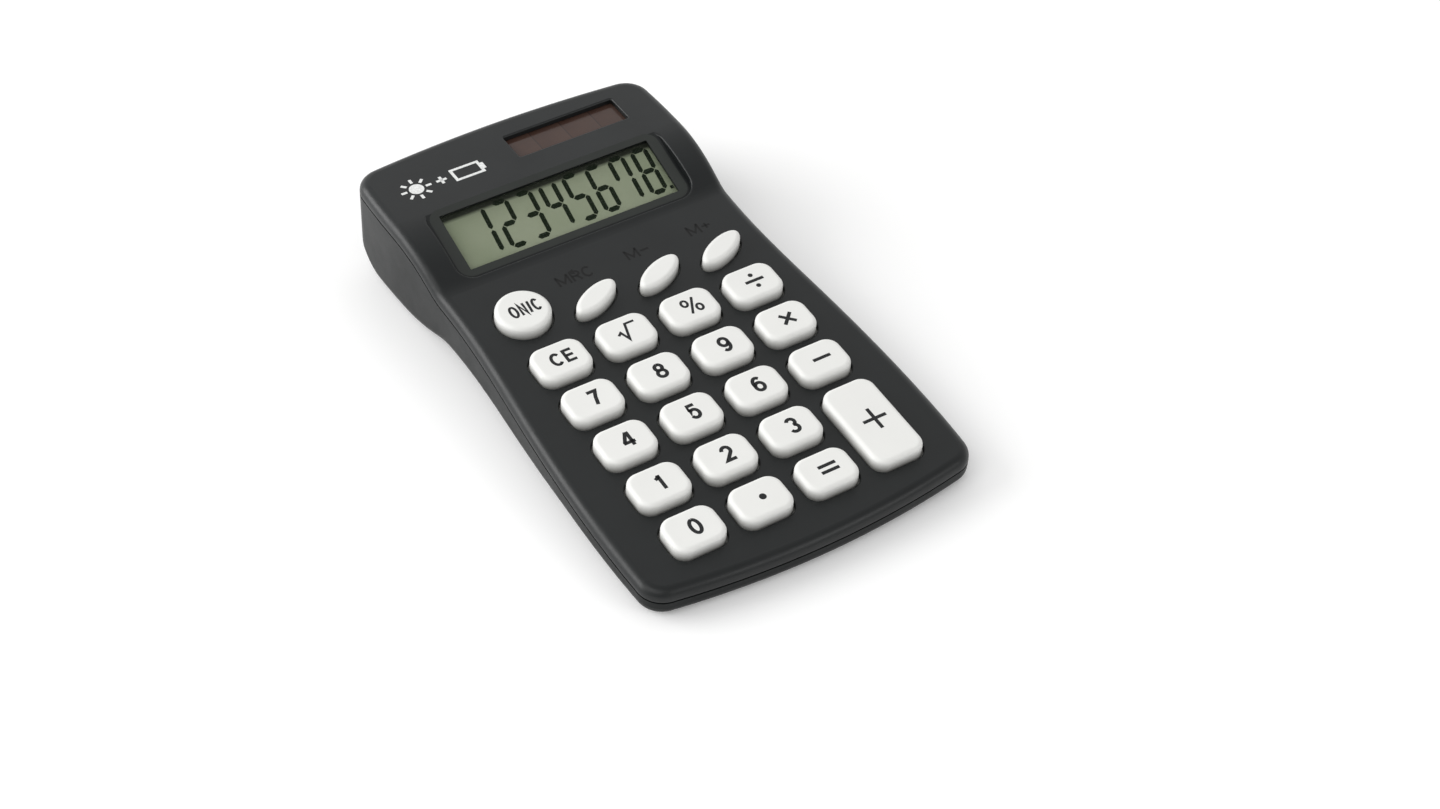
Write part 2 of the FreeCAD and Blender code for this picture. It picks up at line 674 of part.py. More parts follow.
def bottom_case():
    """The lower shell: slab, belly, screw bosses and battery bay."""
    cavity = case_block(-WALL).common(above_underside(FLOOR))
    shell = fuse([bottom_envelope(), bottom_lip()]).cut(cavity)
    core = case_block(-WALL).common(above_underside(FLOOR / 2))
    bay = [table_to_deck(piece) for piece in battery_bay()]
    inside = bottom_bosses() + board_ribs() + bay + [cover_ledge()]
    shell = fuse([shell] + [piece.common(core) for piece in inside])
    seat = table_to_deck(cover_prism(FIT_GAP)).cut(above_underside(COVER_THICKNESS + FIT_GAP))
    reach = CELL_RADIUS + CELL_CLEARANCE
    mouth = table_to_deck(box(CELL_X - reach, CELL_X + reach, CELL_Y - reach, CELL_Y + reach,
                              -OVERSHOOT, BAY_HEIGHT))
    hole = table_to_deck(cylinder(BOARD_SCREW_RADIUS, -OVERSHOOT, BAY_HEIGHT - COVER_HOLE_END,
                                  COVER_SCREW_X, COVER_Y))
    cuts = screw_channels() + [table_to_deck(piece) for piece in foot_recesses()]
    return shell.cut(cuts + [seat, mouth, hole, tongue(TONGUE_GAP)])


# ---------------------------------------------------------------- electronics

def rubber_keypad():
    """One moulded sheet with a hollow dome under each key."""
    dome_top = POST_BOTTOM - DOME_GAP
    web_top = BOARD_TOP + KEYPAD_WEB
    sheet = box(-KEYPAD_HALF_WIDTH, KEYPAD_HALF_WIDTH, KEYPAD_FRONT, KEYPAD_BACK, BOARD_TOP,
                web_top)
    domes = []
    hollows = []
    for _, _, x, y in key_places():
        domes.append(Part.makeCone(DOME_BASE_RADIUS, DOME_TOP_RADIUS, dome_top - web_top,
                                   V(x, y, web_top)))
        hollows.append(Part.makeCone(DOME_BASE_RADIUS - DOME_WALL, DOME_TOP_RADIUS - DOME_WALL,
                                     dome_top - DOME_WALL - BOARD_TOP, V(x, y, BOARD_TOP)))
    for x, y in BOARD_SCREWS:
        hollows.append(cylinder(BOARD_BOSS_RADIUS + BOSS_HOLE_GAP, BOARD_TOP, web_top, x, y))
    return fuse([sheet] + domes).cut(hollows)


def circuit_board():
    board = box(-BOARD_HALF_WIDTH, BOARD_HALF_WIDTH, BOARD_FRONT, BOARD_BACK,
                BOARD_TOP - BOARD_THICKNESS, BOARD_TOP)
    holes = [cylinder(SCREW_RADIUS, -FAR, 0.0, x, y) for x, y in BOARD_SCREWS]
    return board.cut(holes)


def chip_blob():
    """The epoxy cap over the bare chip, under the board."""
    y, radius, height = CHIP
    ball = (radius ** 2 + height ** 2) / (2 * height)
    bottom = BOARD_TOP - BOARD_THICKNESS
    sphere = Part.makeSphere(ball, V(0, y, bottom + ball - height))
    return sphere.common(box(-FAR, FAR, -FAR, FAR, -FAR, bottom))


def board_components():
    """Chip capacitors and resistors round the chip, under the board."""
    bottom = BOARD_TOP - BOARD_THICKNESS
    bodies = []
    for x, y, width, length, height in COMPONENTS:
        bodies.append(box(x - width / 2, x + width / 2, y - length / 2, y + length / 2,
                          bottom - height, bottom))
    return Part.makeCompound(bodies)


def screw(shaft_radius, head_radius, head_height, seat, top):
    """A pan-head screw that points up, with a cross recess, centred on the z axis."""
    shaft = cylinder(shaft_radius, seat, top)
    low = seat - head_height
    head = cylinder(head_radius, low, seat)
    head = head.makeFillet(head_height / 3, [e for e in head.Edges
                                             if e.Closed and e.BoundBox.ZMax < low + 0.01])
    recess = low + head_height * RECESS_DEPTH
    arm = head_radius * RECESS_ARM
    slot = head_radius * RECESS_SLOT
    cross = [box(-arm, arm, -slot, slot, low - OVERSHOOT, recess),
             box(-slot, slot, -arm, arm, low - OVERSHOOT, recess)]
    return fuse([shaft, head]).cut(cross)


def case_screws():
    screws = []
    for place in (FRONT_SCREW, WAIST_SCREW):
        for x, y in screw_places(place):
            one = screw(SCREW_RADIUS - FIT_GAP, SCREW_HEAD_RADIUS, SCREW_HEAD_HEIGHT,
                        screw_seat(x, y), SCREW_TOP)
            screws.append(placed(one, x, y))
    return Part.makeCompound(screws)


def board_screws():
    head_radius, head_height = BOARD_SCREW_HEAD
    seat = BOARD_TOP - BOARD_THICKNESS
    one = screw(BOARD_SCREW_RADIUS - FIT_GAP, head_radius, head_height, seat, -PLATE - FIT_GAP)
    return Part.makeCompound([placed(one, x, y) for x, y in BOARD_SCREWS])


# ---------------------------------------------------------------- display

def glass_plate(half_width, low, high, top, thickness):
    """A flat plate on the window's axes, from low to high up the slope."""
    return on_window(box(-half_width, half_width, low, high, top - thickness, top))


def display_stack():
    """The clear window and the layers of the liquid crystal panel behind it."""
    film_top = SLAB_BOTTOM - FIT_GAP
    glass_top = film_top - FILM_THICKNESS
    rear_top = glass_top - GLASS_THICKNESS
    back_film_top = rear_top - GLASS_THICKNESS
    half_lens = OPENING_WIDTH / 2 + LENS_MARGIN - FIT_GAP
    lens_reach = OPENING_LENGTH / 2 + LENS_MARGIN - FIT_GAP
    film_half = GLASS_WIDTH / 2 - FILM_MARGIN
    low, high = glass_span()
    glass_low = low + LEDGE_LENGTH
    film_low, film_high = glass_low + FILM_LOW_MARGIN, high - FILM_MARGIN
    return {
        "display_window": glass_plate(half_lens, -lens_reach, lens_reach, LENS_TOP,
                                      LENS_TOP - SLAB_BOTTOM),
        "lcd_front_polariser": glass_plate(film_half, film_low, film_high, film_top,
                                           FILM_THICKNESS),
        "lcd_front_glass": glass_plate(GLASS_WIDTH / 2, glass_low, high, glass_top,
                                       GLASS_THICKNESS),
        "lcd_rear_glass": glass_plate(GLASS_WIDTH / 2, low, high, rear_top, GLASS_THICKNESS),
        "lcd_reflector": glass_plate(film_half, film_low, film_high, back_film_top,
                                     FILM_THICKNESS),
        "lcd_holder": lcd_holder(back_film_top - FILM_THICKNESS - FIT_GAP),
        "lcd_ribbon": lcd_ribbon(rear_top),
    }


def lcd_holder(top):
    """The open frame that presses the glass against the case, on four pins."""
    bottom = top - HOLDER_THICKNESS
    half_width = SLAB_HALF_WIDTH - HOLDER_INSET
    frame = box(-half_width, half_width, *HOLDER_SPAN, bottom, top)
    half_window, low, high = HOLDER_WINDOW
    window = box(-half_window, half_window, low, high, bottom, top)
    pin_radius, pin_inset = HOLDER_PIN
    pins = []
    for side in (-1, 1):
        for v in HOLDER_PIN_V:
            pins.append(cylinder(pin_radius, top - HOLDER_THICKNESS / 2, SLAB_BOTTOM - FIT_GAP,
                                 side * (half_width - pin_inset), v))
    return on_window(fuse([frame.cut(window)] + pins))


def window_point(v, n):
    """A point on the window's axes, on the deck's axes."""
    angle = math.radians(WINDOW_TILT)
    return V(0, WINDOW_Y + v * math.cos(angle) - n * math.sin(angle),
             WINDOW_Z + v * math.sin(angle) + n * math.cos(angle))


def lcd_ribbon(ledge_top):
    """The printed film that joins the rear glass's ledge to the circuit board."""
    low = glass_span()[0]
    under = [window_point(low + LEDGE_LENGTH - RIBBON_ON_GLASS, ledge_top),
             window_point(low - RIBBON_OFF_GLASS, ledge_top),
             V(0, BOARD_BACK + RIBBON_OFF_GLASS, BOARD_TOP),
             V(0, KEYPAD_BACK + RIBBON_TO_KEYPAD, BOARD_TOP)]
    over = [point + V(0, 0, RIBBON_THICKNESS) for point in reversed(under)]
    strip = Part.Face(Part.makePolygon(under + over + [under[0]]))
    strip.translate(V(-RIBBON_WIDTH / 2, 0, 0))
    return strip.extrude(V(RIBBON_WIDTH, 0, 0))


# ---------------------------------------------------------------- power

def solar_parts():
    """The glass solar cell behind its opening, and the foam pad stuck to its back."""
    width, length = SOLAR_CELL
    top = -PLATE - FIT_GAP
    bottom = top - SOLAR_THICKNESS
    cell = box(-width / 2, width / 2, -length / 2, length / 2, bottom, top)
    pad_width, pad_length, pad_thickness = SOLAR_PAD
    pad = box(-pad_width / 2, pad_width / 2, -pad_length / 2, pad_length / 2,
              bottom - pad_thickness, bottom)
    return {"solar_cell": on_solar(cell), "solar_pad": on_solar(pad)}


def button_cell():
    """A flat round cell, its smaller cap upwards, on the table's axes."""
    inset, height, overlap = CELL_CAP
    top = CELL_BOTTOM + CELL_HEIGHT
    can_top = top - height
    can = cylinder(CELL_RADIUS, CELL_BOTTOM, can_top, CELL_X, CELL_Y)
    can = can.makeFillet(CELL_EDGE_ROUND, [e for e in can.Edges if e.Closed])
    cap = cylinder(CELL_RADIUS - inset, can_top - overlap, top, CELL_X, CELL_Y)
    return fuse([can, cap])


def positive_contact():
    """A strip up the side of the cell, with a solder tab over the bay's wall."""
    inner = CELL_X + CELL_RADIUS + FIT_GAP
    outer = inner + CONTACT_THICKNESS
    y0, y1 = CELL_Y - CONTACT_WIDTH / 2, CELL_Y + CONTACT_WIDTH / 2
    top = BAY_HEIGHT + FIT_GAP
    upright = box(inner, outer, y0, y1, CELL_BOTTOM, top + CONTACT_THICKNESS)
    tab = box(inner, inner + CONTACT_TAB, y0, y1, top, top + CONTACT_THICKNESS)
    return fuse([upright, tab])


def negative_contact():
    """A leaf over the cell's cap, with a solder tab over the bay's back wall."""
    x0, x1 = CELL_X - CONTACT_WIDTH / 2, CELL_X + CONTACT_WIDTH / 2
    leaf_z = CELL_BOTTOM + CELL_HEIGHT + FIT_GAP
    back = CELL_Y + CELL_RADIUS + CELL_CLEARANCE - FIT_GAP
    front = back - CONTACT_THICKNESS
    top = BAY_HEIGHT + FIT_GAP
    leaf = box(x0, x1, CELL_Y - CONTACT_WIDTH / 2, back, leaf_z, leaf_z + CONTACT_THICKNESS)
    upright = box(x0, x1, front, back, leaf_z, top + CONTACT_THICKNESS)
    tab = box(x0, x1, front, front + CONTACT_TAB, top, top + CONTACT_THICKNESS)
    return fuse([leaf, upright, tab])


def battery_cover():
    """A cover flush with the belly, with a pad under the cell, a tongue and a screw hole."""
    plate = table_to_deck(cover_prism(0.0)).common(above_underside(0.0))
    plate = plate.cut(above_underside(COVER_THICKNESS))
    half = CELL_RADIUS - PAD_INSET
    pad = table_to_deck(box(CELL_X - half, CELL_X + half, CELL_Y - half, CELL_Y + half,
                            0.0, CELL_BOTTOM - FIT_GAP))
    pad = pad.common(above_underside(COVER_THICKNESS / 2))
    hole = cylinder(SCREW_HOLE_RADIUS, -OVERSHOOT, BAY_HEIGHT, COVER_SCREW_X, COVER_Y)
    pocket = cylinder(SCREW_HEAD_RADIUS + FIT_GAP, -OVERSHOOT, cover_screw_seat(), COVER_SCREW_X,
                      COVER_Y)
    return fuse([plate, pad, tongue(0.0)]).cut([table_to_deck(hole), table_to_deck(pocket)])


def cover_screw_seat():
    """Height of the face under the battery cover screw's head, on the table's axes."""
    belly = deck_to_table(Part.Vertex(0, COVER_Y, underside_at(0, COVER_Y))).Point.z
    return belly + SCREW_HEAD_HEIGHT + COVER_SCREW_SINK


def battery_cover_screw():
    one = screw(BOARD_SCREW_RADIUS - FIT_GAP, SCREW_HEAD_RADIUS, SCREW_HEAD_HEIGHT,
                cover_screw_seat(), BAY_HEIGHT - COVER_SCREW_SHORT)
    return placed(one, COVER_SCREW_X, COVER_Y)


def tube(points):
    """A round wire along straight runs joined by tangent arcs, in the plane x = constant."""
    edges = []
    start = points[0]
    for before, corner, after in zip(points, points[1:], points[2:]):
        back = (before - corner).normalize()
        ahead = (after - corner).normalize()
        half_angle = back.getAngle(ahead) / 2
        inset = WIRE_BEND / math.tan(half_angle)
        inward = (back + ahead).normalize()
        centre = corner + inward * (WIRE_BEND / math.sin(half_angle))
        bend_start = corner + back * inset
        bend_end = corner + ahead * inset
        edges.append(Part.makeLine(start, bend_start))
        edges.append(Part.Arc(bend_start, centre - inward * WIRE_BEND, bend_end).toShape())
        start = bend_end
    edges.append(Part.makeLine(start, points[-1]))
    circle = Part.Circle(points[0], points[1] - points[0], WIRE_RADIUS).toShape()
    return Part.Wire(edges).makePipeShell([Part.Wire(circle)], True, True)


def wire_to_board(start, rise_z):
    """A wire from a solder point, level with the deck to below the board, and up to it."""
    x = start.x
    board_bottom = BOARD_TOP - BOARD_THICKNESS
    return tube([start, V(x, start.y, rise_z), V(x, WIRE_BOARD_Y + WIRE_LEAD_IN, WIRE_RUN_Z),
                 V(x, WIRE_BOARD_Y, WIRE_RUN_Z), V(x, WIRE_BOARD_Y, board_bottom)])


def solar_wires():
    """Two wires from the ends of the solar cell's back."""
    wires = []
    for x in SOLAR_WIRES_X:
        back = -PLATE - FIT_GAP - SOLAR_THICKNESS - SOLDER_GAP
        level = on_solar(Part.Vertex(x - SOLAR_X, 0, back)).Point
        wires.append(wire_to_board(level, SOLAR_WIRE_TURN_Z))
    return Part.makeCompound(wires)


def battery_wires():
    """Two wires from the tabs of the battery contacts."""
    top = BAY_HEIGHT + FIT_GAP + CONTACT_THICKNESS + SOLDER_GAP
    tabs = (V(CELL_X + CELL_RADIUS + TAB_SOLDER, CELL_Y, top),
            V(CELL_X, CELL_Y + CELL_RADIUS + TAB_SOLDER, top))
    wires = []
    for tab in tabs:
        start = table_to_deck(Part.Vertex(tab)).Point
        wires.append(wire_to_board(start, start.z + BATTERY_WIRE_RISE))
    return Part.makeCompound(wires)


# ---------------------------------------------------------------- assembly

def deck_parts():
    """Every sub-part that is drawn on the deck's axes."""
    found = {
        "top_case": top_case(),
        "bottom_case": bottom_case(),
        "rubber_keypad": rubber_keypad(),
        "circuit_board": circuit_board(),
        "chip_blob": chip_blob(),
        "board_components": board_components(),
        "board_screws": board_screws(),
        "case_screws": case_screws(),
        "battery_cover": battery_cover(),
        "solar_wires": solar_wires(),
        "battery_wires": battery_wires(),
    }
    found.update(display_stack())
    found.update(solar_parts())
    for name, kind, x, y in key_places():
        found[name] = placed(key(kind), x, y)
    return found


def table_parts():
    """Every sub-part that is drawn level with the table."""
    return {
        "rubber_feet": Part.makeCompound(feet()),
        "button_cell": button_cell(),
        "battery_contact_positive": positive_contact(),
        "battery_contact_negative": negative_contact(),
        "battery_cover_screw": battery_cover_screw(),
    }


def plain(shape):
    """A lone solid without the compound round it."""
    return shape.Solids[0] if len(shape.Solids) == 1 else shape


def main():
    parts = {name: deck_to_table(shape) for name, shape in deck_parts().items()}
    parts.update(table_parts())
    bounds = Part.makeCompound([parts["top_case"], parts["bottom_case"]]).optimalBoundingBox()
    centre_y = (bounds.YMin + bounds.YMax) / 2
    print("overall", round(bounds.XLength, 2), round(bounds.YLength, 2), round(bounds.ZMax, 2),
          "centred from y", round(centre_y, 3))
    os.makedirs("parts", exist_ok=True)
    for name, shape in sorted(parts.items()):
        shape = plain(placed(shape, y=-centre_y))
        shape.exportStep("parts/" + name + ".step")
        print(name, len(shape.Solids), shape.isValid(), round(shape.Volume, 2))


main()
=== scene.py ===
import json
import math

import bmesh
import bpy
from mathutils import Matrix, Vector
from mathutils.bvhtree import BVHTree


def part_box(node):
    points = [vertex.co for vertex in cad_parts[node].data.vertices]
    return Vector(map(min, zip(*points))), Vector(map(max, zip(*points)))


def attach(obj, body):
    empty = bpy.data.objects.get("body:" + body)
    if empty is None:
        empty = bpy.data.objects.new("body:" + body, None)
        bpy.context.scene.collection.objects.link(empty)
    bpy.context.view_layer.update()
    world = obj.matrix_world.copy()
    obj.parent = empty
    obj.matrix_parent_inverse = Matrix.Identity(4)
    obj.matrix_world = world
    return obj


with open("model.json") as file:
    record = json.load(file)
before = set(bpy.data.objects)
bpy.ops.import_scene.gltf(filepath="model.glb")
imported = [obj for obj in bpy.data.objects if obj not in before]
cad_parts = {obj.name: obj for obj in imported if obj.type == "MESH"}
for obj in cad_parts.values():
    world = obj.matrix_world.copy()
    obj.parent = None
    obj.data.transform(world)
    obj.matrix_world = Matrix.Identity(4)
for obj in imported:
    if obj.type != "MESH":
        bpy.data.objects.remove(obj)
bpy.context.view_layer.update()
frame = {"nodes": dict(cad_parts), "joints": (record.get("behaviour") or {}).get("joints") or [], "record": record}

# The looks of a small desk calculator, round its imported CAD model.  Lengths are in metres; the
# sizes below are given in millimetres times MM.  Printed marks are placed on two sets of axes,
# both turned about X from the table: the deck, which the keys stand on, and the window, which
# the display lies along.

MM = 0.001

# Camera: where it looks from, and what it looks at.
CAMERA_AZIMUTH = math.radians(-32.156)
CAMERA_ELEVATION = math.radians(42.129)
CAMERA_DISTANCE = 467.2 * MM
CAMERA_TARGET = Vector((-0.63, -25.82, 10.51)) * MM
CAMERA_LENS = 64.756
SENSOR_WIDTH = 36.0

# Light: a tent, brightest low down behind, and three soft boxes aimed at the object.
TENT_FRONT = 0.46              # strength overhead and in front
TENT_BACK = 1.04               # strength low down behind
TENT_HEIGHT_SHARE = -0.8       # height's share in the rise from one to the other
TENT_RISE_START = -1.0
TENT_RISE_END = 0.6
LAMPS = (
    # name, place, width and height, watts
    ("overhead", (-0.6, -0.3, 0.8), (0.8, 0.6), 2.4),
    ("left", (-0.83, 0.60, 0.46), (0.9, 0.6), 7.5),
    ("front fill", (0.43, -0.86, 0.55), (0.5, 0.3), 1.6),
)
FLOOR_HALF = 2.5
FLOOR_CELLS = 24
FLOOR_GLOW = 0.12              # lightens the shadow on the floor

# Keys.
KEY_STANDS = 2.2 * MM          # how far a key stands out of the deck
KEY_PAINTED_SHADE_TOP = 0.95 * MM      # below a key's top, where the painted shade on its wall starts

# Printing.
INK_THICKNESS = 0.03 * MM
INK_SINK = 0.01 * MM           # printed marks start this far inside what they are printed on
LEGEND_SHIFT = 0.35 * MM       # legends stand right of the keys' centres
LETTER_HEIGHT = 3.8 * MM
LETTER_WIDTH = 2.4 * MM
LETTER_GAP = 0.28 * MM
STROKE = 0.7 * MM
THIN_STROKE = 0.5 * MM         # of the root and percent signs and the round key's legend
MITRE_LIMIT = 0.3              # keeps a stroke's sharp corners short
ARC_STEP = math.radians(12)
CE_HEIGHT = 3.3 * MM
CE_STROKE = 0.62 * MM
ON_CLEAR_HEIGHT = 3.2 * MM
ON_CLEAR_WIDTH = 1.6 * MM
SIGN_DOT = 0.48 * MM           # radius of the divide sign's dots
SIGN_DOT_Y = 1.5 * MM
POINT_DOT = 0.68 * MM
DIVIDE_WIDTH = 3.9 * MM
MULTIPLY_ARM = 3.5 * MM
MINUS_WIDTH = 3.75 * MM
PLUS_WIDTH = 4.9 * MM
PLUS_HEIGHT = 5.2 * MM
EQUALS_WIDTH = 3.65 * MM
EQUALS_Y = 0.7 * MM            # of its bars, above and below the centre
PERCENT_RING = (0.6 * MM, 0.78 * MM)
PERCENT_RING_PLACE = (1.15 * MM, 0.95 * MM)
PERCENT_SLASH_END = (0.95 * MM, 1.95 * MM)
LABEL_HEIGHT = 2.8 * MM
LABEL_LETTER_WIDTH = 2.2 * MM
LABEL_STROKE = 0.42 * MM
LABEL_ABOVE_KEY = 4.2 * MM     # from a key's upper edge to its label's centre

# Pictograms of a sun and a cell, left of the solar cell.
PICTURES_X = -20.8 * MM        # sun's centre, from the solar cell's left end
PICTURES_Y = 1.6 * MM
SUN_RADIUS = 1.5 * MM
SUN_RAYS = 8
RAY_GAP = 0.5 * MM
RAY_LENGTH = 1.2 * MM
RAY_WIDTH = 0.6 * MM
PLUS_SIZE = 2.2 * MM
PLUS_X = 5.4 * MM
BATTERY_WIDTH = 6.4 * MM
BATTERY_HEIGHT = 3.8 * MM
BATTERY_X = 11.0 * MM
PICTURE_LINE = 0.6 * MM
STRIP = 0.4 * MM
HIGH_ABOVE = 50 * MM

# Display: eight digits, in the glass.
DIGIT_PITCH = 5.19 * MM
LAST_DIGIT_X = 20.4 * MM
MIDDLE_BAR_V = 0.6 * MM        # up the slope from the window's centre
BAR_SPACING = 5.12 * MM        # between a digit's horizontal bars
DIGIT_HALF_WIDTH = 1.45 * MM
UPRIGHT_HALF = 0.48 * MM       # half thickness of upright and level segments
LEVEL_HALF = 0.56 * MM
SEGMENT_GAP = 0.12 * MM
SLANT = 0.065
POINT_X = 2.4 * MM             # from the last digit's centre
POINT_HALF = 0.36 * MM
SHOWN = "12345678"
PAINTED_SHADOW_LOW_V = 5.5 * MM          # painted shadow of the opening's upper wall, along the panel's upper edge
PAINTED_SHADOW_BLUR = 0.4 * MM
OPENING_INSET = 0.9 * MM       # opening's edge, inside the window's edge
OPENING_CORNER = 0.3 * MM
BORDER_WIDTH = 2.2 * MM        # satin border round the opening, beside it
BORDER_HEIGHT = 1.5 * MM       # and above and below it
BORDER_CORNER = 2.6 * MM
POCKET_LIFT = 0.5 * MM         # pocket's floor above the window

SOLAR_DIVISIONS = 4
RIBBON_PITCH = 0.9 * MM        # between the ribbon's tracks

nodes = frame["nodes"]


# ---------------------------------------------------------------- axes and places

def turned_about_x(normal):
    """Axes turned about X so that their z lies along a normal without any x."""
    return Matrix.Rotation(math.atan2(-normal.y, normal.z), 4, "X")


def broad_face_normal(node):
    """The normal of a node's largest upward face."""
    upward = [p for p in nodes[node].data.polygons if p.normal.z > 0.5]
    return max(upward, key=lambda p: p.area).normal.copy()


def span(node, axes):
    """Lowest and highest corners of a node, measured along the given axes."""
    back = axes.inverted()
    points = [back @ v.co for v in nodes[node].data.vertices]
    low = Vector([min(p[i] for p in points) for i in range(3)])
    high = Vector([max(p[i] for p in points) for i in range(3)])
    return low, high


DECK = turned_about_x(-Vector(frame["joints"][0]["axis"]))
WINDOW = turned_about_x(broad_face_normal("display_window"))


# ---------------------------------------------------------------- material building blocks

class Nodes:
    """A material's node tree, with short ways to add and link nodes."""

    def __init__(self, name):
        self.material = bpy.data.materials.new(name)
        self.material.use_nodes = True
        self.tree = self.material.node_tree
        self.tree.nodes.clear()
        self.output = self.tree.nodes.new("ShaderNodeOutputMaterial")
        self.shader = self.tree.nodes.new("ShaderNodeBsdfPrincipled")
        self.link(self.shader.outputs[0], self.output.inputs[0])
        coordinates = self.tree.nodes.new("ShaderNodeTexCoord")
        self.place = coordinates.outputs["Object"]

    def link(self, source, target):
        self.tree.links.new(source, target)

    def set(self, **values):
        """Sets the shader's own sockets, named in words with underscores."""
        for name, value in values.items():
            self.shader.inputs[name.replace("_", " ")].default_value = value

    def scaled(self, stretch):
        """The place, stretched by different factors along each axis."""
        mapping = self.tree.nodes.new("ShaderNodeMapping")
        mapping.inputs["Scale"].default_value = stretch
        self.link(self.place, mapping.inputs["Vector"])
        return mapping.outputs[0]

    def noise(self, size, detail=3.0, roughness=0.55, place=None):
        """Noise whose blobs are about size across."""
        node = self.tree.nodes.new("ShaderNodeTexNoise")
        node.inputs["Scale"].default_value = 1.0 / size
        node.inputs["Detail"].default_value = detail
        node.inputs["Roughness"].default_value = roughness
        self.link(place or self.place, node.inputs["Vector"])
        return node.outputs[0]

    def cells(self, size, feature="F1"):
        node = self.tree.nodes.new("ShaderNodeTexVoronoi")
        node.feature = feature
        node.inputs["Scale"].default_value = 1.0 / size
        self.link(self.place, node.inputs["Vector"])
        return node.outputs["Distance"]

    def levels(self, source, low, high, start=0.3, end=0.7):
        """A number moved from the range start..end to low..high."""
        node = self.tree.nodes.new("ShaderNodeMapRange")
        node.inputs["From Min"].default_value = start
        node.inputs["From Max"].default_value = end
        node.inputs["To Min"].default_value = low
        node.inputs["To Max"].default_value = high
        self.link(source, node.inputs["Value"])
        return node.outputs[0]

    def along(self, direction):
        """How far the place lies along a direction."""
        node = self.tree.nodes.new("ShaderNodeVectorMath")
        node.operation = "DOT_PRODUCT"
        self.link(self.place, node.inputs[0])
        node.inputs[1].default_value = direction[:3]
        return node.outputs["Value"]

    def maths(self, operation, first, second):
        node = self.tree.nodes.new("ShaderNodeMath")
        node.operation = operation
        for value, socket in ((first, node.inputs[0]), (second, node.inputs[1])):
            if isinstance(value, (int, float)):
                socket.default_value = value
            else:
                self.link(value, socket)
        return node.outputs[0]

    def blend(self, share, first, second):
        """Two colours, or colour outputs, mixed by a share from 0 to 1."""
        node = self.tree.nodes.new("ShaderNodeMix")
        node.data_type = "RGBA"
        self.link(share, node.inputs["Factor"])
        for value, socket in ((first, node.inputs[6]), (second, node.inputs[7])):
            if isinstance(value, tuple):
                socket.default_value = (*value, 1.0)
            else:
                self.link(value, socket)
        return node.outputs[2]

    def bump(self, height, depth, strength=1.0):
        """Relief of a real depth, in metres, for a height from 0 to 1."""
        node = self.tree.nodes.new("ShaderNodeBump")
        node.inputs["Strength"].default_value = strength
        node.inputs["Distance"].default_value = depth
        self.link(height, node.inputs["Height"])
        self.link(node.outputs[0], self.shader.inputs["Normal"])

    def colour(self, source):
        self.link(source, self.shader.inputs["Base Color"])

    def roughness(self, source):
        self.link(source, self.shader.inputs["Roughness"])

    def edges(self, radius, start=0.02, end=0.12):
        """1 along sharp edges and 0 elsewhere, from how far a rounded normal leaves the face's."""
        bevel = self.tree.nodes.new("ShaderNodeBevel")
        bevel.samples = 4
        bevel.inputs["Radius"].default_value = radius
        geometry = self.tree.nodes.new("ShaderNodeNewGeometry")
        dot = self.tree.nodes.new("ShaderNodeVectorMath")
        dot.operation = "DOT_PRODUCT"
        self.link(bevel.outputs[0], dot.inputs[0])
        self.link(geometry.outputs["Normal"], dot.inputs[1])
        turned = self.maths("SUBTRACT", 1.0, dot.outputs["Value"])
        return self.levels(turned, 0.0, 1.0, start, end)


def shade(colour, factor):
    return tuple(channel * factor for channel in colour)


def moulded(name, colour, gloss, grain=0.12 * MM, depth=0.006 * MM, variation=0.12, wear=0.0):
    """Moulded plastic: fine spark-eroded grain, uneven gloss, faint flow marks, rubbed edges."""
    m = Nodes(name)
    flow = m.noise(9 * MM, detail=4.0)
    base = m.blend(m.levels(flow, 0.0, 1.0), shade(colour, 1 - variation),
                   shade(colour, 1 + variation))
    if wear:
        patches = m.levels(m.noise(2.5 * MM, detail=5.0), 0.0, 1.0, 0.45, 0.7)
        rubbed = m.maths("MULTIPLY", m.maths("MULTIPLY", m.edges(0.35 * MM), patches), wear)
        base = m.blend(rubbed, base, shade(colour, 2.2))
    m.colour(base)
    handled = m.noise(14 * MM, detail=5.0, roughness=0.65)
    m.roughness(m.levels(handled, gloss - 0.06, gloss + 0.06))
    m.bump(m.noise(grain, detail=2.0), depth)
    return m


def case_plastic():
    m = moulded("case_plastic", (0.0060, 0.0076, 0.0079), 0.40, wear=0.4)
    m.set(Specular_IOR_Level=0.40)
    return m


def base_plastic():
    m = moulded("base_plastic", (0.0060, 0.0072, 0.0073), 0.40, wear=0.3)
    m.set(Specular_IOR_Level=0.18)
    return m


def key_plastic():
    """White, with painted shade that darkens each wall towards the gap that the key stands in."""
    m = moulded("key_plastic", (0.83, 0.83, 0.805), 0.42, grain=0.2 * MM, depth=0.003 * MM,
                variation=0.015)
    white = m.shader.inputs["Base Color"].links[0].from_socket
    top = span("key_5", DECK)[1].z
    # painted shade: the wall's colour darkens towards the deck, standing in for the shadow in the gap round the
    # key
    painted_foot_shade = m.levels(m.along(DECK.col[2]), 1.0, 0.0, top - KEY_STANDS, top - KEY_PAINTED_SHADE_TOP)
    m.colour(m.blend(painted_foot_shade, white, (0.37, 0.37, 0.35)))
    m.set(Specular_IOR_Level=0.25)
    return m


def silicone():
    m = moulded("silicone", (0.40, 0.42, 0.43), 0.6, grain=0.3 * MM, depth=0.01 * MM)
    m.set(Sheen_Weight=0.15)
    return m


def board_laminate():
    """Green solder mask with darker bare patches and a faint weave."""
    m = Nodes("board_laminate")
    tracks = m.levels(m.cells(2.2 * MM, "DISTANCE_TO_EDGE"), 0.0, 1.0, 0.06, 0.10)
    green = m.blend(m.noise(6 * MM), (0.012, 0.085, 0.035), (0.018, 0.125, 0.05))
    m.colour(m.blend(tracks, (0.033, 0.209, 0.077), green))
    m.roughness(m.levels(m.noise(1.5 * MM), 0.28, 0.42))
    m.bump(tracks, 0.02 * MM)
    return m


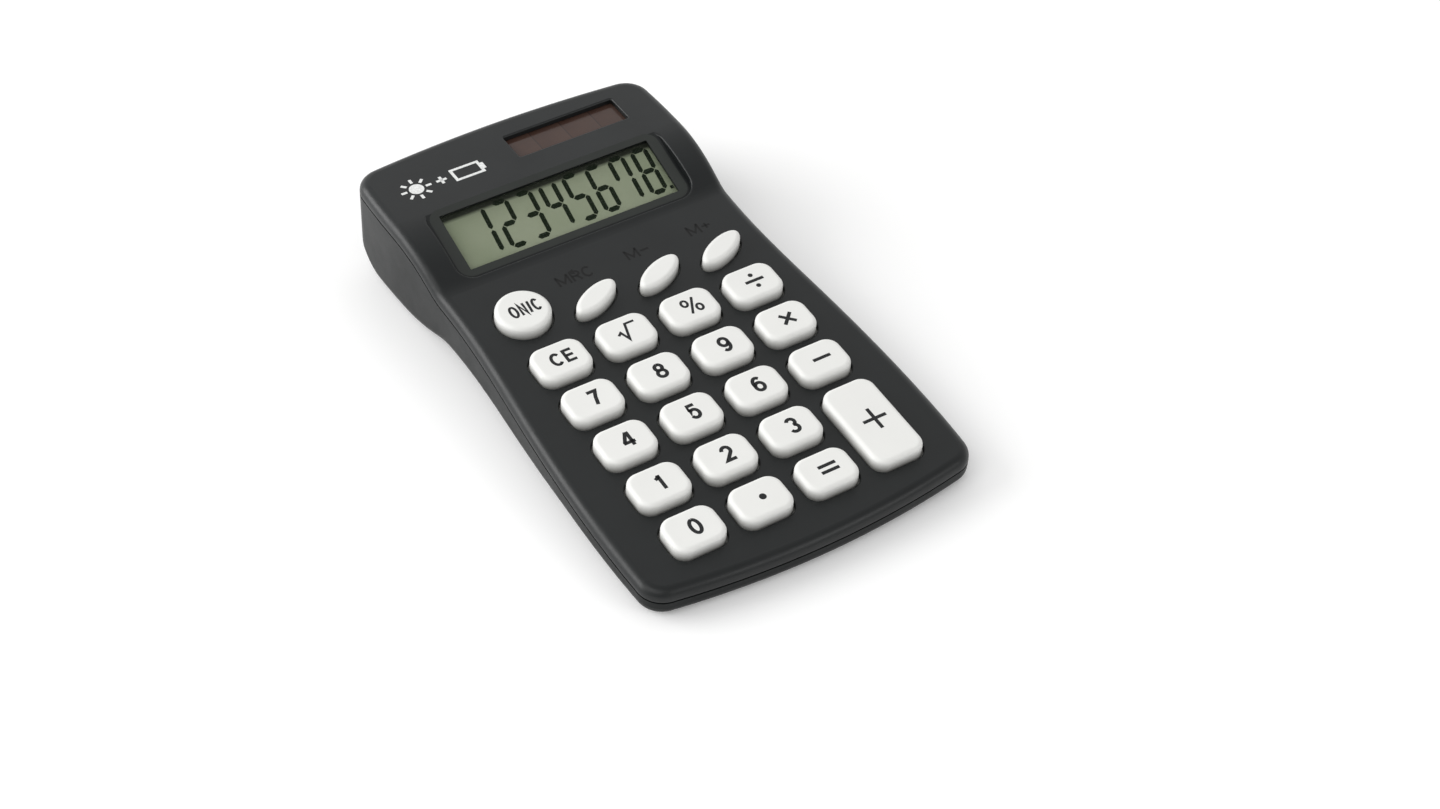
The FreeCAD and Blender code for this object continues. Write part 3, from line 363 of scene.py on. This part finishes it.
def epoxy():
    m = moulded("epoxy", (0.010, 0.010, 0.011), 0.25, grain=1.2 * MM, depth=0.02 * MM)
    m.set(Coat_Weight=0.3)
    return m


def ceramic_parts():
    return moulded("ceramic_parts", (0.30, 0.21, 0.13), 0.55, grain=0.15 * MM, depth=0.008 * MM)


def metal(name, colour, gloss, brushing):
    """Plated steel, brushed along one axis, with dull finger marks."""
    m = Nodes(name)
    streaks = m.noise(0.2 * MM, detail=4.0, place=m.scaled(brushing))
    m.colour(m.blend(m.levels(m.noise(3 * MM), 0.0, 1.0), shade(colour, 0.86), colour))
    m.roughness(m.levels(streaks, gloss - 0.08, gloss + 0.12))
    m.bump(streaks, 0.004 * MM)
    m.set(Metallic=1.0)
    return m


def screw_steel():
    return metal("screw_steel", (0.52, 0.52, 0.50), 0.35, (1.0, 1.0, 0.15))


def cell_steel():
    return metal("cell_steel", (0.62, 0.61, 0.58), 0.28, (0.1, 1.0, 1.0))


def contact_steel():
    return metal("contact_steel", (0.66, 0.62, 0.53), 0.3, (1.0, 0.1, 1.0))


def wire_sleeve():
    m = moulded("wire_sleeve", (0.42, 0.02, 0.015), 0.4, grain=0.5 * MM, depth=0.01 * MM)
    m.set(Coat_Weight=0.2)
    return m


def see_through(name, colour, opacity, gloss):
    """A thin clear sheet: what lies behind shows, and its own faces shine a little."""
    m = Nodes(name)
    m.colour(m.blend(m.noise(7 * MM), shade(colour, 0.95), colour))
    m.roughness(m.levels(m.noise(5 * MM, detail=5.0), gloss, gloss + 0.05))
    m.bump(m.noise(4 * MM), 0.002 * MM)
    m.set(Alpha=opacity)
    return m


def clear_window():
    return see_through("clear_window", (0.05, 0.06, 0.05), 0.05, 0.06)


def polariser():
    """The panel's grey green ground, as it looks through the front film, with a painted shadow along its upper
    edge.
    """
    m = Nodes("polariser")
    cloud = m.levels(m.noise(16 * MM, detail=2.0), 0.0, 1.0, 0.35, 0.65)
    ground = m.blend(cloud, (0.28, 0.32, 0.215), (0.33, 0.365, 0.26))
    fibres = m.levels(m.noise(0.25 * MM), 0.0, 0.12)
    ground = m.blend(fibres, ground, (0.20, 0.25, 0.16))
    low, high = span("display_window", WINDOW)
    # painted shadow: the ground darkens to near black along its upper edge, where the opening's upper wall shades
    # the recessed panel
    painted_shadow_v = (low.y + high.y) / 2 + PAINTED_SHADOW_LOW_V
    painted_shadow = m.levels(m.along(WINDOW.col[1]), 0.0, 0.94, painted_shadow_v - PAINTED_SHADOW_BLUR, painted_shadow_v + PAINTED_SHADOW_BLUR)
    m.colour(m.blend(painted_shadow, ground, (0.012, 0.014, 0.010)))
    m.roughness(m.levels(m.noise(2 * MM), 0.45, 0.6))
    m.bump(m.noise(0.3 * MM), 0.004 * MM)
    m.set(Specular_IOR_Level=0.1)
    return m


def lcd_glass():
    """Glass over the printed electrodes: dark, greenish and glossy."""
    m = Nodes("lcd_glass")
    m.colour(m.blend(m.noise(8 * MM), (0.10, 0.14, 0.12), (0.14, 0.18, 0.15)))
    m.roughness(m.levels(m.noise(5 * MM, detail=5.0), 0.06, 0.14))
    m.bump(m.noise(3 * MM), 0.002 * MM)
    m.set(Coat_Weight=0.4)
    return m


def reflector():
    return metal("reflector", (0.58, 0.62, 0.55), 0.4, (1.0, 0.2, 1.0))


def holder_plastic():
    return moulded("holder_plastic", (0.58, 0.58, 0.54), 0.5, grain=0.2 * MM)


def ribbon_film():
    """Amber film with dark printed tracks along its length."""
    m = Nodes("ribbon_film")
    across = m.tree.nodes.new("ShaderNodeSeparateXYZ")
    m.link(m.place, across.inputs[0])
    phase = m.maths("FRACT", m.maths("MULTIPLY", across.outputs[0], 1 / RIBBON_PITCH), 0.0)
    track = m.levels(phase, 0.0, 1.0, 0.45, 0.55)
    amber = m.blend(m.noise(3 * MM), (0.36, 0.17, 0.03), (0.45, 0.24, 0.06))
    m.colour(m.blend(track, amber, (0.05, 0.035, 0.02)))
    m.roughness(m.levels(m.noise(1 * MM), 0.25, 0.4))
    m.bump(track, 0.01 * MM)
    return m


def solar_glass():
    """Brown amorphous silicon in four cells, behind glass."""
    m = Nodes("solar_glass")
    low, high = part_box("solar_cell")
    pitch = (high.x - low.x) / SOLAR_DIVISIONS
    across = m.tree.nodes.new("ShaderNodeSeparateXYZ")
    m.link(m.place, across.inputs[0])
    from_left = m.maths("SUBTRACT", across.outputs[0], low.x)
    phase = m.maths("FRACT", m.maths("MULTIPLY", from_left, 1 / pitch), 0.0)
    gap = m.maths("SUBTRACT", 1.0, m.levels(phase, 0.0, 1.0, 0.025, 0.045))
    tone = m.blend(m.levels(phase, 0.0, 1.0, 0.0, 1.0), (0.048, 0.024, 0.018), (0.058, 0.033, 0.026))
    mottled = m.blend(m.levels(m.noise(3 * MM), 0.0, 0.35), tone, (0.075, 0.038, 0.026))
    m.colour(m.blend(gap, mottled, (0.034, 0.020, 0.017)))
    m.roughness(m.levels(m.noise(4 * MM), 0.12, 0.22))
    m.set(Specular_IOR_Level=0.35)
    m.bump(m.noise(2 * MM), 0.002 * MM)
    return m


def foam():
    m = Nodes("foam")
    pores = m.cells(0.35 * MM)
    m.colour(m.blend(m.levels(pores, 0.0, 1.0, 0.1, 0.6), (0.008, 0.008, 0.008),
                     (0.03, 0.03, 0.03)))
    m.roughness(m.levels(pores, 0.8, 0.95))
    m.bump(pores, 0.15 * MM)
    return m


def foot_rubber():
    m = moulded("foot_rubber", (0.018, 0.018, 0.019), 0.75, grain=0.25 * MM, depth=0.02 * MM)
    m.set(Sheen_Weight=0.1)
    return m


def ink(name, colour, gloss, shine=0.15):
    """Pad-printed ink, slightly uneven, with pinholes."""
    m = Nodes(name)
    m.colour(m.blend(m.levels(m.noise(0.4 * MM), 0.0, 1.0), shade(colour, 0.85),
                     shade(colour, 1.15)))
    m.roughness(m.levels(m.noise(1 * MM), gloss - 0.05, gloss + 0.08))
    m.bump(m.noise(0.1 * MM), 0.004 * MM)
    m.set(Specular_IOR_Level=shine)
    return m


def floor_paper():
    """Pale seamless paper."""
    m = Nodes("floor_paper")
    m.colour(m.blend(m.noise(120 * MM), (0.93, 0.93, 0.925), (0.95, 0.95, 0.95)))
    m.roughness(m.levels(m.noise(30 * MM), 0.75, 0.85))
    m.bump(m.noise(0.8 * MM), 0.01 * MM)
    m.set(Specular_IOR_Level=0.2, Emission_Color=(1, 1, 1, 1), Emission_Strength=FLOOR_GLOW)
    return m


def finish_nodes():
    """Gives every CAD node its material, by the record's slots."""
    makers = {
        "case_plastic": case_plastic, "base_plastic": base_plastic, "key_plastic": key_plastic,
        "silicone": silicone, "board_laminate": board_laminate, "epoxy": epoxy,
        "ceramic_parts": ceramic_parts, "screw_steel": screw_steel, "wire_sleeve": wire_sleeve,
        "clear_window": clear_window, "polariser": polariser, "lcd_glass": lcd_glass,
        "reflector": reflector, "holder_plastic": holder_plastic, "ribbon_film": ribbon_film,
        "solar_glass": solar_glass, "foam": foam, "cell_steel": cell_steel,
        "contact_steel": contact_steel, "foot_rubber": foot_rubber,
    }
    made = {slot: maker().material for slot, maker in makers.items()}
    for part in frame["record"]["subparts"]:
        mesh = nodes[part["node"]].data
        mesh.materials.clear()
        mesh.materials.append(made[part["material_slot"]])


# ---------------------------------------------------------------- flat marks

def add_piece(name, mesh, axes, place, body, material):
    """A new object on some axes, riding on a CAD body."""
    piece = bpy.data.objects.new(name, mesh)
    bpy.context.scene.collection.objects.link(piece)
    piece.matrix_world = axes @ Matrix.Translation(place)
    mesh.materials.clear()
    mesh.materials.append(material)
    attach(piece, body)
    return piece


def raised(outlines, name):
    """A mesh of flat shapes, each given by its corners in turn, raised by the ink's thickness."""
    bm = bmesh.new()
    for outline in outlines:
        bottom = [bm.verts.new((x, y, 0.0)) for x, y in outline]
        top = [bm.verts.new((x, y, INK_THICKNESS)) for x, y in outline]
        bm.faces.new(top)
        bm.faces.new(reversed(bottom))
        for i in range(len(outline)):
            j = (i + 1) % len(outline)
            bm.faces.new((bottom[i], bottom[j], top[j], top[i]))
    mesh = bpy.data.meshes.new(name)
    bm.to_mesh(mesh)
    bm.free()
    return mesh


def bar(width, height, x=0.0, y=0.0, turn=0.0):
    """A rectangle's corners, turned about its centre."""
    c, s = math.cos(turn), math.sin(turn)
    corners = ((-width, -height), (width, -height), (width, height), (-width, height))
    return [(x + (a * c - b * s) / 2, y + (a * s + b * c) / 2) for a, b in corners]


def disc(radius, x=0.0, y=0.0, steps=32):
    turns = [2 * math.pi * i / steps for i in range(steps)]
    return [(x + radius * math.cos(t), y + radius * math.sin(t)) for t in turns]


def stroke(points, width):
    """The outline of a bent line of even width, mitred at its corners."""
    points = [Vector(p) for p in points]
    left, right = [], []
    for i, point in enumerate(points):
        before = (point - points[i - 1]).normalized() if i else None
        after = (points[i + 1] - point).normalized() if i + 1 < len(points) else None
        ahead = ((before or after) + (after or before)).normalized()
        side = Vector((-ahead.y, ahead.x))
        across = Vector((-(after or before).y, (after or before).x))
        reach = side * (width / 2 / max(side.dot(across), MITRE_LIMIT))
        left.append(tuple(point + reach))
        right.append(tuple(point - reach))
    return right + left[::-1]


def arc(x, y, rx, ry, start, end):
    """Points along part of an ellipse, from one angle in degrees to another."""
    start, end = math.radians(start), math.radians(end)
    steps = max(2, round(abs(end - start) / ARC_STEP))
    turns = [start + (end - start) * i / steps for i in range(steps + 1)]
    return [(x + rx * math.cos(t), y + ry * math.sin(t)) for t in turns]


def turned(strokes):
    """Strokes turned half round."""
    return [[(-x, -y) for x, y in points] for points in strokes]


# Letters as strokes, on a square from -1 to 1 in x and y.
SIX = [arc(0, -0.38, 1, 0.62, 150, 510), [(-0.98, -0.3)] + arc(0.08, 0.1, 1.08, 0.9, 175, 50)]
GLYPHS = {
    "0": [arc(0, 0, 1, 1, 90, 450)],
    "1": [[(-0.75, 0.55), (-0.2, 0.66), (0.2, 1.0)], [(0.2, 1.08), (0.2, -1.1)]],
    "2": [arc(0, 0.42, 0.95, 0.58, 172, -35) + [(-1.0, -1.0), (1.12, -1.0)]],
    "3": [arc(-0.05, 0.5, 0.92, 0.5, 160, -80), arc(-0.05, -0.47, 1.0, 0.53, 80, -160)],
    "4": [[(0.55, -1.1), (0.55, 1.1)], [(0.35, 1.06), (-0.9, -0.5)],
          [(-1.1, -0.5), (1.15, -0.5)]],
    "5": [[(0.9, 1.0), (-0.6, 1.0), (-0.82, -0.02)] + arc(-0.02, -0.35, 1.0, 0.65, 140, -155)],
    "6": SIX,
    "7": [[(-1.0, 1.0), (1.0, 1.0), (0.3, 0.1), (-0.25, -1.1)]],
    "8": [arc(0, 0.52, 0.82, 0.48, 90, 450), arc(0, -0.46, 1, 0.54, 90, 450)],
    "9": turned(SIX),
    "C": [arc(0, 0, 1, 1, 42, 318)],
    "E": [[(0.95, 1.0), (-0.9, 1.0), (-0.9, -1.0), (1.0, -1.0)], [(-0.9, 0.03), (0.85, 0.03)]],
    "M": [[(-1, -1.1), (-1, 1.1)], [(-1, 0.95), (0, -0.7), (1, 0.95)], [(1, 1.1), (1, -1.1)]],
    "N": [[(-0.9, -1.1), (-0.9, 1.05), (0.9, -1.05), (0.9, 1.1)]],
    "O": [arc(0, 0, 1, 1, 90, 450)],
    "R": [[(-0.9, -1.1), (-0.9, 1.0), (0.2, 1.0)] + arc(0.2, 0.5, 0.75, 0.5, 90, -90)
          + [(-0.9, 0.0)], [(0.15, 0.0), (0.9, -1.1)]],
    "/": [[(-1, -1.1), (1, 1.1)]],
    "+": [[(-1, 0), (1, 0)], [(0, -0.6), (0, 0.6)]],
    "-": [[(-1, 0), (1, 0)]],
}
NARROW = {"/": 0.5, "M": 1.25, "O": 1.1, "4": 1.15}


def lettering(text, height, width, thickness):
    """Letters of a height and a usual letter's width, side by side and centred."""
    widths = [width * NARROW.get(letter, 1.0) for letter in text]
    x = -(sum(widths) + LETTER_GAP * width / LETTER_WIDTH * (len(text) - 1)) / 2
    outlines = []
    for letter, room in zip(text, widths):
        half_x, half_y = (room - thickness) / 2, (height - thickness) / 2
        x += room / 2
        for points in GLYPHS[letter]:
            placed = [(x + px * half_x, py * half_y) for px, py in points]
            outlines.append(stroke(placed, thickness))
        x += room / 2 + LETTER_GAP * width / LETTER_WIDTH
    return raised(outlines, text)


# ---------------------------------------------------------------- key legends

def root_sign():
    tick = ((-2.2, -0.4), (-1.5, 0.2), (-0.75, -1.9), (0.3, 1.9), (2.2, 1.9))
    return raised([stroke([(x * MM, y * MM) for x, y in tick], THIN_STROKE)], "root")


def percent_sign():
    out, up = PERCENT_RING_PLACE
    end_x, end_y = PERCENT_SLASH_END
    rings = [arc(side * out, -side * up, *PERCENT_RING, 90, 450) for side in (-1, 1)]
    slash = [(-end_x, -end_y), (end_x, end_y)]
    return raised([stroke(points, THIN_STROKE) for points in rings + [slash]], "percent")


def divide_sign():
    return raised([bar(DIVIDE_WIDTH, STROKE), disc(SIGN_DOT, y=SIGN_DOT_Y),
                   disc(SIGN_DOT, y=-SIGN_DOT_Y)], "divide")


def multiply_sign():
    quarter = math.pi / 4
    shift = (MULTIPLY_ARM / 4 + STROKE / 4) * math.cos(quarter)
    short = MULTIPLY_ARM / 2 - STROKE / 2
    halves = [bar(short, STROKE, side * shift, -side * shift, -quarter) for side in (-1, 1)]
    return raised([bar(MULTIPLY_ARM, STROKE, turn=quarter)] + halves, "multiply")


def minus_sign():
    return raised([bar(MINUS_WIDTH, STROKE)], "minus")


def plus_sign():
    arm = (PLUS_HEIGHT - STROKE) / 2
    reach = (arm + STROKE) / 2
    uprights = [bar(STROKE, arm, y=side * reach) for side in (-1, 1)]
    return raised([bar(PLUS_WIDTH, STROKE)] + uprights, "plus")


def equals_sign():
    return raised([bar(EQUALS_WIDTH, STROKE, y=side * EQUALS_Y) for side in (-1, 1)], "equals")


def point_sign():
    return raised([disc(POINT_DOT)], "point")


def key_legends():
    """One printed legend on each labelled key."""
    black = ink("legend_ink", (0.022, 0.023, 0.024), 0.45).material
    signs = {"root": root_sign, "percent": percent_sign, "divide": divide_sign,
             "multiply": multiply_sign, "minus": minus_sign, "plus": plus_sign,
             "equals": equals_sign, "point": point_sign}
    meshes = {name: sign() for name, sign in signs.items()}
    for digit in "0123456789":
        meshes[digit] = lettering(digit, LETTER_HEIGHT, LETTER_WIDTH, STROKE)
    meshes["ce"] = lettering("CE", CE_HEIGHT, LETTER_WIDTH, CE_STROKE)
    meshes["on_clear"] = lettering("ON/C", ON_CLEAR_HEIGHT, ON_CLEAR_WIDTH, THIN_STROKE)
    for name, mesh in meshes.items():
        node = "key_" + name
        low, high = span(node, DECK)
        middle = (low + high) / 2
        place = Vector((middle.x + LEGEND_SHIFT, middle.y, high.z - INK_SINK))
        add_piece("legend_" + name, mesh, DECK, place, node, black)


# ---------------------------------------------------------------- marks on the case

def memory_labels():
    """Dark labels behind the three oval keys."""
    dark = ink("label_ink", (0.006, 0.006, 0.006), 0.4, shine=0.25).material
    deck_top = span("key_5", DECK)[1].z - KEY_STANDS
    for node, text in (("key_memory_recall", "MRC"), ("key_memory_minus", "M-"),
                       ("key_memory_plus", "M+")):
        low, high = span(node, DECK)
        place = Vector(((low.x + high.x) / 2, high.y + LABEL_ABOVE_KEY, deck_top - INK_SINK))
        mesh = lettering(text, LABEL_HEIGHT, LABEL_LETTER_WIDTH, LABEL_STROKE)
        add_piece("label_" + node[4:], mesh, DECK, place, "case", dark)


def sun(x, y):
    """A round sun with rays."""
    shapes = [disc(SUN_RADIUS, x, y)]
    out = SUN_RADIUS + RAY_GAP + RAY_LENGTH / 2
    for i in range(SUN_RAYS):
        turn = 2 * math.pi * i / SUN_RAYS
        ray_x, ray_y = x + out * math.cos(turn), y + out * math.sin(turn)
        shapes.append(bar(RAY_LENGTH, RAY_WIDTH, ray_x, ray_y, turn))
    return shapes


def battery(x, y):
    """The outline of a cell lying on its side."""
    side = (BATTERY_WIDTH - PICTURE_LINE) / 2
    top = (BATTERY_HEIGHT - PICTURE_LINE) / 2
    inside = BATTERY_HEIGHT - 2 * PICTURE_LINE
    shapes = [bar(BATTERY_WIDTH, PICTURE_LINE, x, y + end * top) for end in (-1, 1)]
    shapes += [bar(PICTURE_LINE, inside, x + end * side, y) for end in (-1, 1)]
    return shapes + [bar(PICTURE_LINE, BATTERY_HEIGHT / 2, x + side + PICTURE_LINE, y)]


def laid_on(mesh, axes, node, step):
    """A flat mesh cut into strips and dropped straight down on to a node's curved surface."""
    bm = bmesh.new()
    bm.from_mesh(mesh)
    ys = [v.co.y for v in bm.verts]
    for i in range(1, int((max(ys) - min(ys)) / step) + 1):
        everything = bm.verts[:] + bm.edges[:] + bm.faces[:]
        bmesh.ops.bisect_plane(bm, geom=everything, plane_co=(0, min(ys) + i * step, 0),
                               plane_no=(0, 1, 0))
    ground = BVHTree.FromObject(nodes[node], bpy.context.evaluated_depsgraph_get())
    back = axes.inverted()
    for v in bm.verts:
        above = axes @ Vector((v.co.x, v.co.y, HIGH_ABOVE))
        hit, normal = ground.ray_cast(above, Vector((0, 0, -1)))[:2]
        v.co = back @ (hit + normal * (v.co.z - INK_SINK))
    bm.to_mesh(mesh)
    bm.free()


def power_pictograms():
    """White marks for a calculator that runs on light and on a cell."""
    white = ink("white_ink", (0.78, 0.79, 0.78), 0.4).material
    low, high = span("solar_cell", DECK)
    y = (low.y + high.y) / 2 + PICTURES_Y
    x = low.x + PICTURES_X
    plus = [bar(PLUS_SIZE, PICTURE_LINE, x + PLUS_X, y), bar(PICTURE_LINE, PLUS_SIZE, x + PLUS_X, y)]
    mesh = raised(sun(x, y) + plus + battery(x + BATTERY_X, y), "pictograms")
    laid_on(mesh, DECK, "top_case", STRIP)
    add_piece("power_pictograms", mesh, DECK, Vector(), "case", white)


def segment_outline(x0, y0, x1, y1, half):
    """A six-cornered bar between two points, pointed at both ends."""
    start, end = Vector((x0, y0)), Vector((x1, y1))
    ahead = (end - start).normalized()
    side = Vector((-ahead.y, ahead.x)) * half
    near = start + ahead * (SEGMENT_GAP + half)
    far = end - ahead * (SEGMENT_GAP + half)
    corners = (start + ahead * SEGMENT_GAP, near - side, far - side, end - ahead * SEGMENT_GAP,
               far + side, near + side)
    return [tuple(c) for c in corners]


def digit_outlines(digit, x):
    """The lit segments of one seven-segment digit, slanted."""
    lit = {"1": "bc", "2": "abged", "3": "abgcd", "4": "fgbc", "5": "afgcd", "6": "afgedc",
           "7": "fabc", "8": "abcdefg"}[digit]
    a, b = DIGIT_HALF_WIDTH, BAR_SPACING
    ends = {"a": (-a, b, a, b), "g": (-a, 0, a, 0), "d": (-a, -b, a, -b), "f": (-a, 0, -a, b),
            "b": (a, 0, a, b), "e": (-a, -b, -a, 0), "c": (a, -b, a, 0)}
    shapes = []
    for name in lit:
        half = LEVEL_HALF if name in "agd" else UPRIGHT_HALF
        outline = segment_outline(*ends[name], half)
        shapes.append([(x + px + SLANT * py, MIDDLE_BAR_V + py) for px, py in outline])
    return shapes


def rounded_corners(half_x, half_y, radius):
    """The corners of a rounded rectangle, in turn."""
    points = []
    for sx, sy, start in ((1, 1, 0), (-1, 1, 90), (-1, -1, 180), (1, -1, 270)):
        centre = (sx * (half_x - radius), sy * (half_y - radius))
        points += arc(*centre, radius, radius, start, start + 90)
    return points


def ring(outer, inner, name):
    """A raised band between two outlines with the same number of corners."""
    outlines = []
    for i in range(len(outer)):
        j = (i + 1) % len(outer)
        outlines.append([inner[i], outer[i], outer[j], inner[j]])
    return raised(outlines, name)


def display_border():
    """The satin border round the display's opening, on the floor of its pocket."""
    m = moulded("display_border", (0.018, 0.0215, 0.0185), 0.35, grain=0.5 * MM, depth=0.002 * MM)
    low, high = span("display_window", WINDOW)
    half_x = (high.x - low.x) / 2 - OPENING_INSET
    half_y = (high.y - low.y) / 2 - OPENING_INSET
    outer = rounded_corners(half_x + BORDER_WIDTH, half_y + BORDER_HEIGHT, BORDER_CORNER)
    inner = rounded_corners(half_x, half_y, OPENING_CORNER)
    mesh = ring(outer, inner, "display_border")
    place = Vector((0, (low.y + high.y) / 2, high.z + POCKET_LIFT - INK_SINK))
    add_piece("display_border", mesh, WINDOW, place, "case", m.material)


def display_digits():
    """The lit digits and the decimal point, on the film behind the window."""
    low, high = span("display_window", WINDOW)
    centre_v = (low.y + high.y) / 2
    shapes = []
    for i, digit in enumerate(reversed(SHOWN)):
        shapes += digit_outlines(digit, LAST_DIGIT_X - i * DIGIT_PITCH)
    shapes.append(bar(2 * POINT_HALF, 2 * POINT_HALF, LAST_DIGIT_X + POINT_X,
                      MIDDLE_BAR_V - BAR_SPACING))
    film_top = span("lcd_front_polariser", WINDOW)[1].z
    place = Vector((0.0, centre_v, film_top - INK_SINK))
    lit = ink("lit_segments", (0.010, 0.016, 0.008), 0.5, shine=0.0).material
    add_piece("display_digits", raised(shapes, "digits"), WINDOW, place, "case", lit)


# ---------------------------------------------------------------- surroundings

def floor():
    bm = bmesh.new()
    bmesh.ops.create_grid(bm, x_segments=FLOOR_CELLS, y_segments=FLOOR_CELLS, size=FLOOR_HALF)
    mesh = bpy.data.meshes.new("floor")
    bm.to_mesh(mesh)
    bm.free()
    sheet = bpy.data.objects.new("floor", mesh)
    mesh.materials.append(floor_paper().material)
    bpy.context.scene.collection.objects.link(sheet)


def area_light(name, place, size, power):
    """A soft box that faces the middle of the floor."""
    data = bpy.data.lights.new(name, "AREA")
    data.shape = "RECTANGLE"
    data.size, data.size_y = size
    data.energy = power
    lamp = bpy.data.objects.new(name, data)
    lamp.location = place
    lamp.rotation_mode = "QUATERNION"
    lamp.rotation_quaternion = (-Vector(place)).to_track_quat("-Z", "Y")
    bpy.context.scene.collection.objects.link(lamp)


def lights():
    """The tent, as the world's own light, and the soft boxes."""
    world = bpy.data.worlds.new("studio")
    world.use_nodes = True
    tree = world.node_tree
    background = tree.nodes["Background"]
    place = tree.nodes.new("ShaderNodeTexCoord")
    axes = tree.nodes.new("ShaderNodeSeparateXYZ")
    tree.links.new(place.outputs["Generated"], axes.inputs[0])
    rise = tree.nodes.new("ShaderNodeMapRange")
    rise.interpolation_type = "SMOOTHSTEP"
    rise.inputs["From Min"].default_value = TENT_RISE_START
    rise.inputs["From Max"].default_value = TENT_RISE_END
    rise.inputs["To Min"].default_value = TENT_FRONT
    rise.inputs["To Max"].default_value = TENT_BACK
    back_and_low = tree.nodes.new("ShaderNodeMath")
    back_and_low.operation = "MULTIPLY_ADD"
    tree.links.new(axes.outputs["Z"], back_and_low.inputs[0])
    back_and_low.inputs[1].default_value = TENT_HEIGHT_SHARE
    tree.links.new(axes.outputs["Y"], back_and_low.inputs[2])
    tree.links.new(back_and_low.outputs[0], rise.inputs["Value"])
    tree.links.new(rise.outputs[0], background.inputs["Strength"])
    background.inputs["Color"].default_value = (1.0, 1.0, 1.0, 1.0)
    bpy.context.scene.world = world
    for name, spot, size, power in LAMPS:
        area_light(name, spot, size, power)
    bpy.context.scene.view_settings.view_transform = "Standard"


def camera():
    data = bpy.data.cameras.new("camera")
    data.lens = CAMERA_LENS
    data.sensor_width = SENSOR_WIDTH
    data.clip_start = 0.02
    data.clip_end = 20.0
    seer = bpy.data.objects.new("camera", data)
    level = math.cos(CAMERA_ELEVATION)
    back = Vector((math.sin(CAMERA_AZIMUTH) * level, -math.cos(CAMERA_AZIMUTH) * level,
                   math.sin(CAMERA_ELEVATION)))
    seer.location = CAMERA_TARGET + back * CAMERA_DISTANCE
    seer.rotation_mode = "QUATERNION"
    seer.rotation_quaternion = (-back).to_track_quat("-Z", "Y")
    bpy.context.scene.collection.objects.link(seer)
    bpy.context.scene.camera = seer


camera()
finish_nodes()
key_legends()
memory_labels()
power_pictograms()
display_border()
display_digits()
floor()
lights()
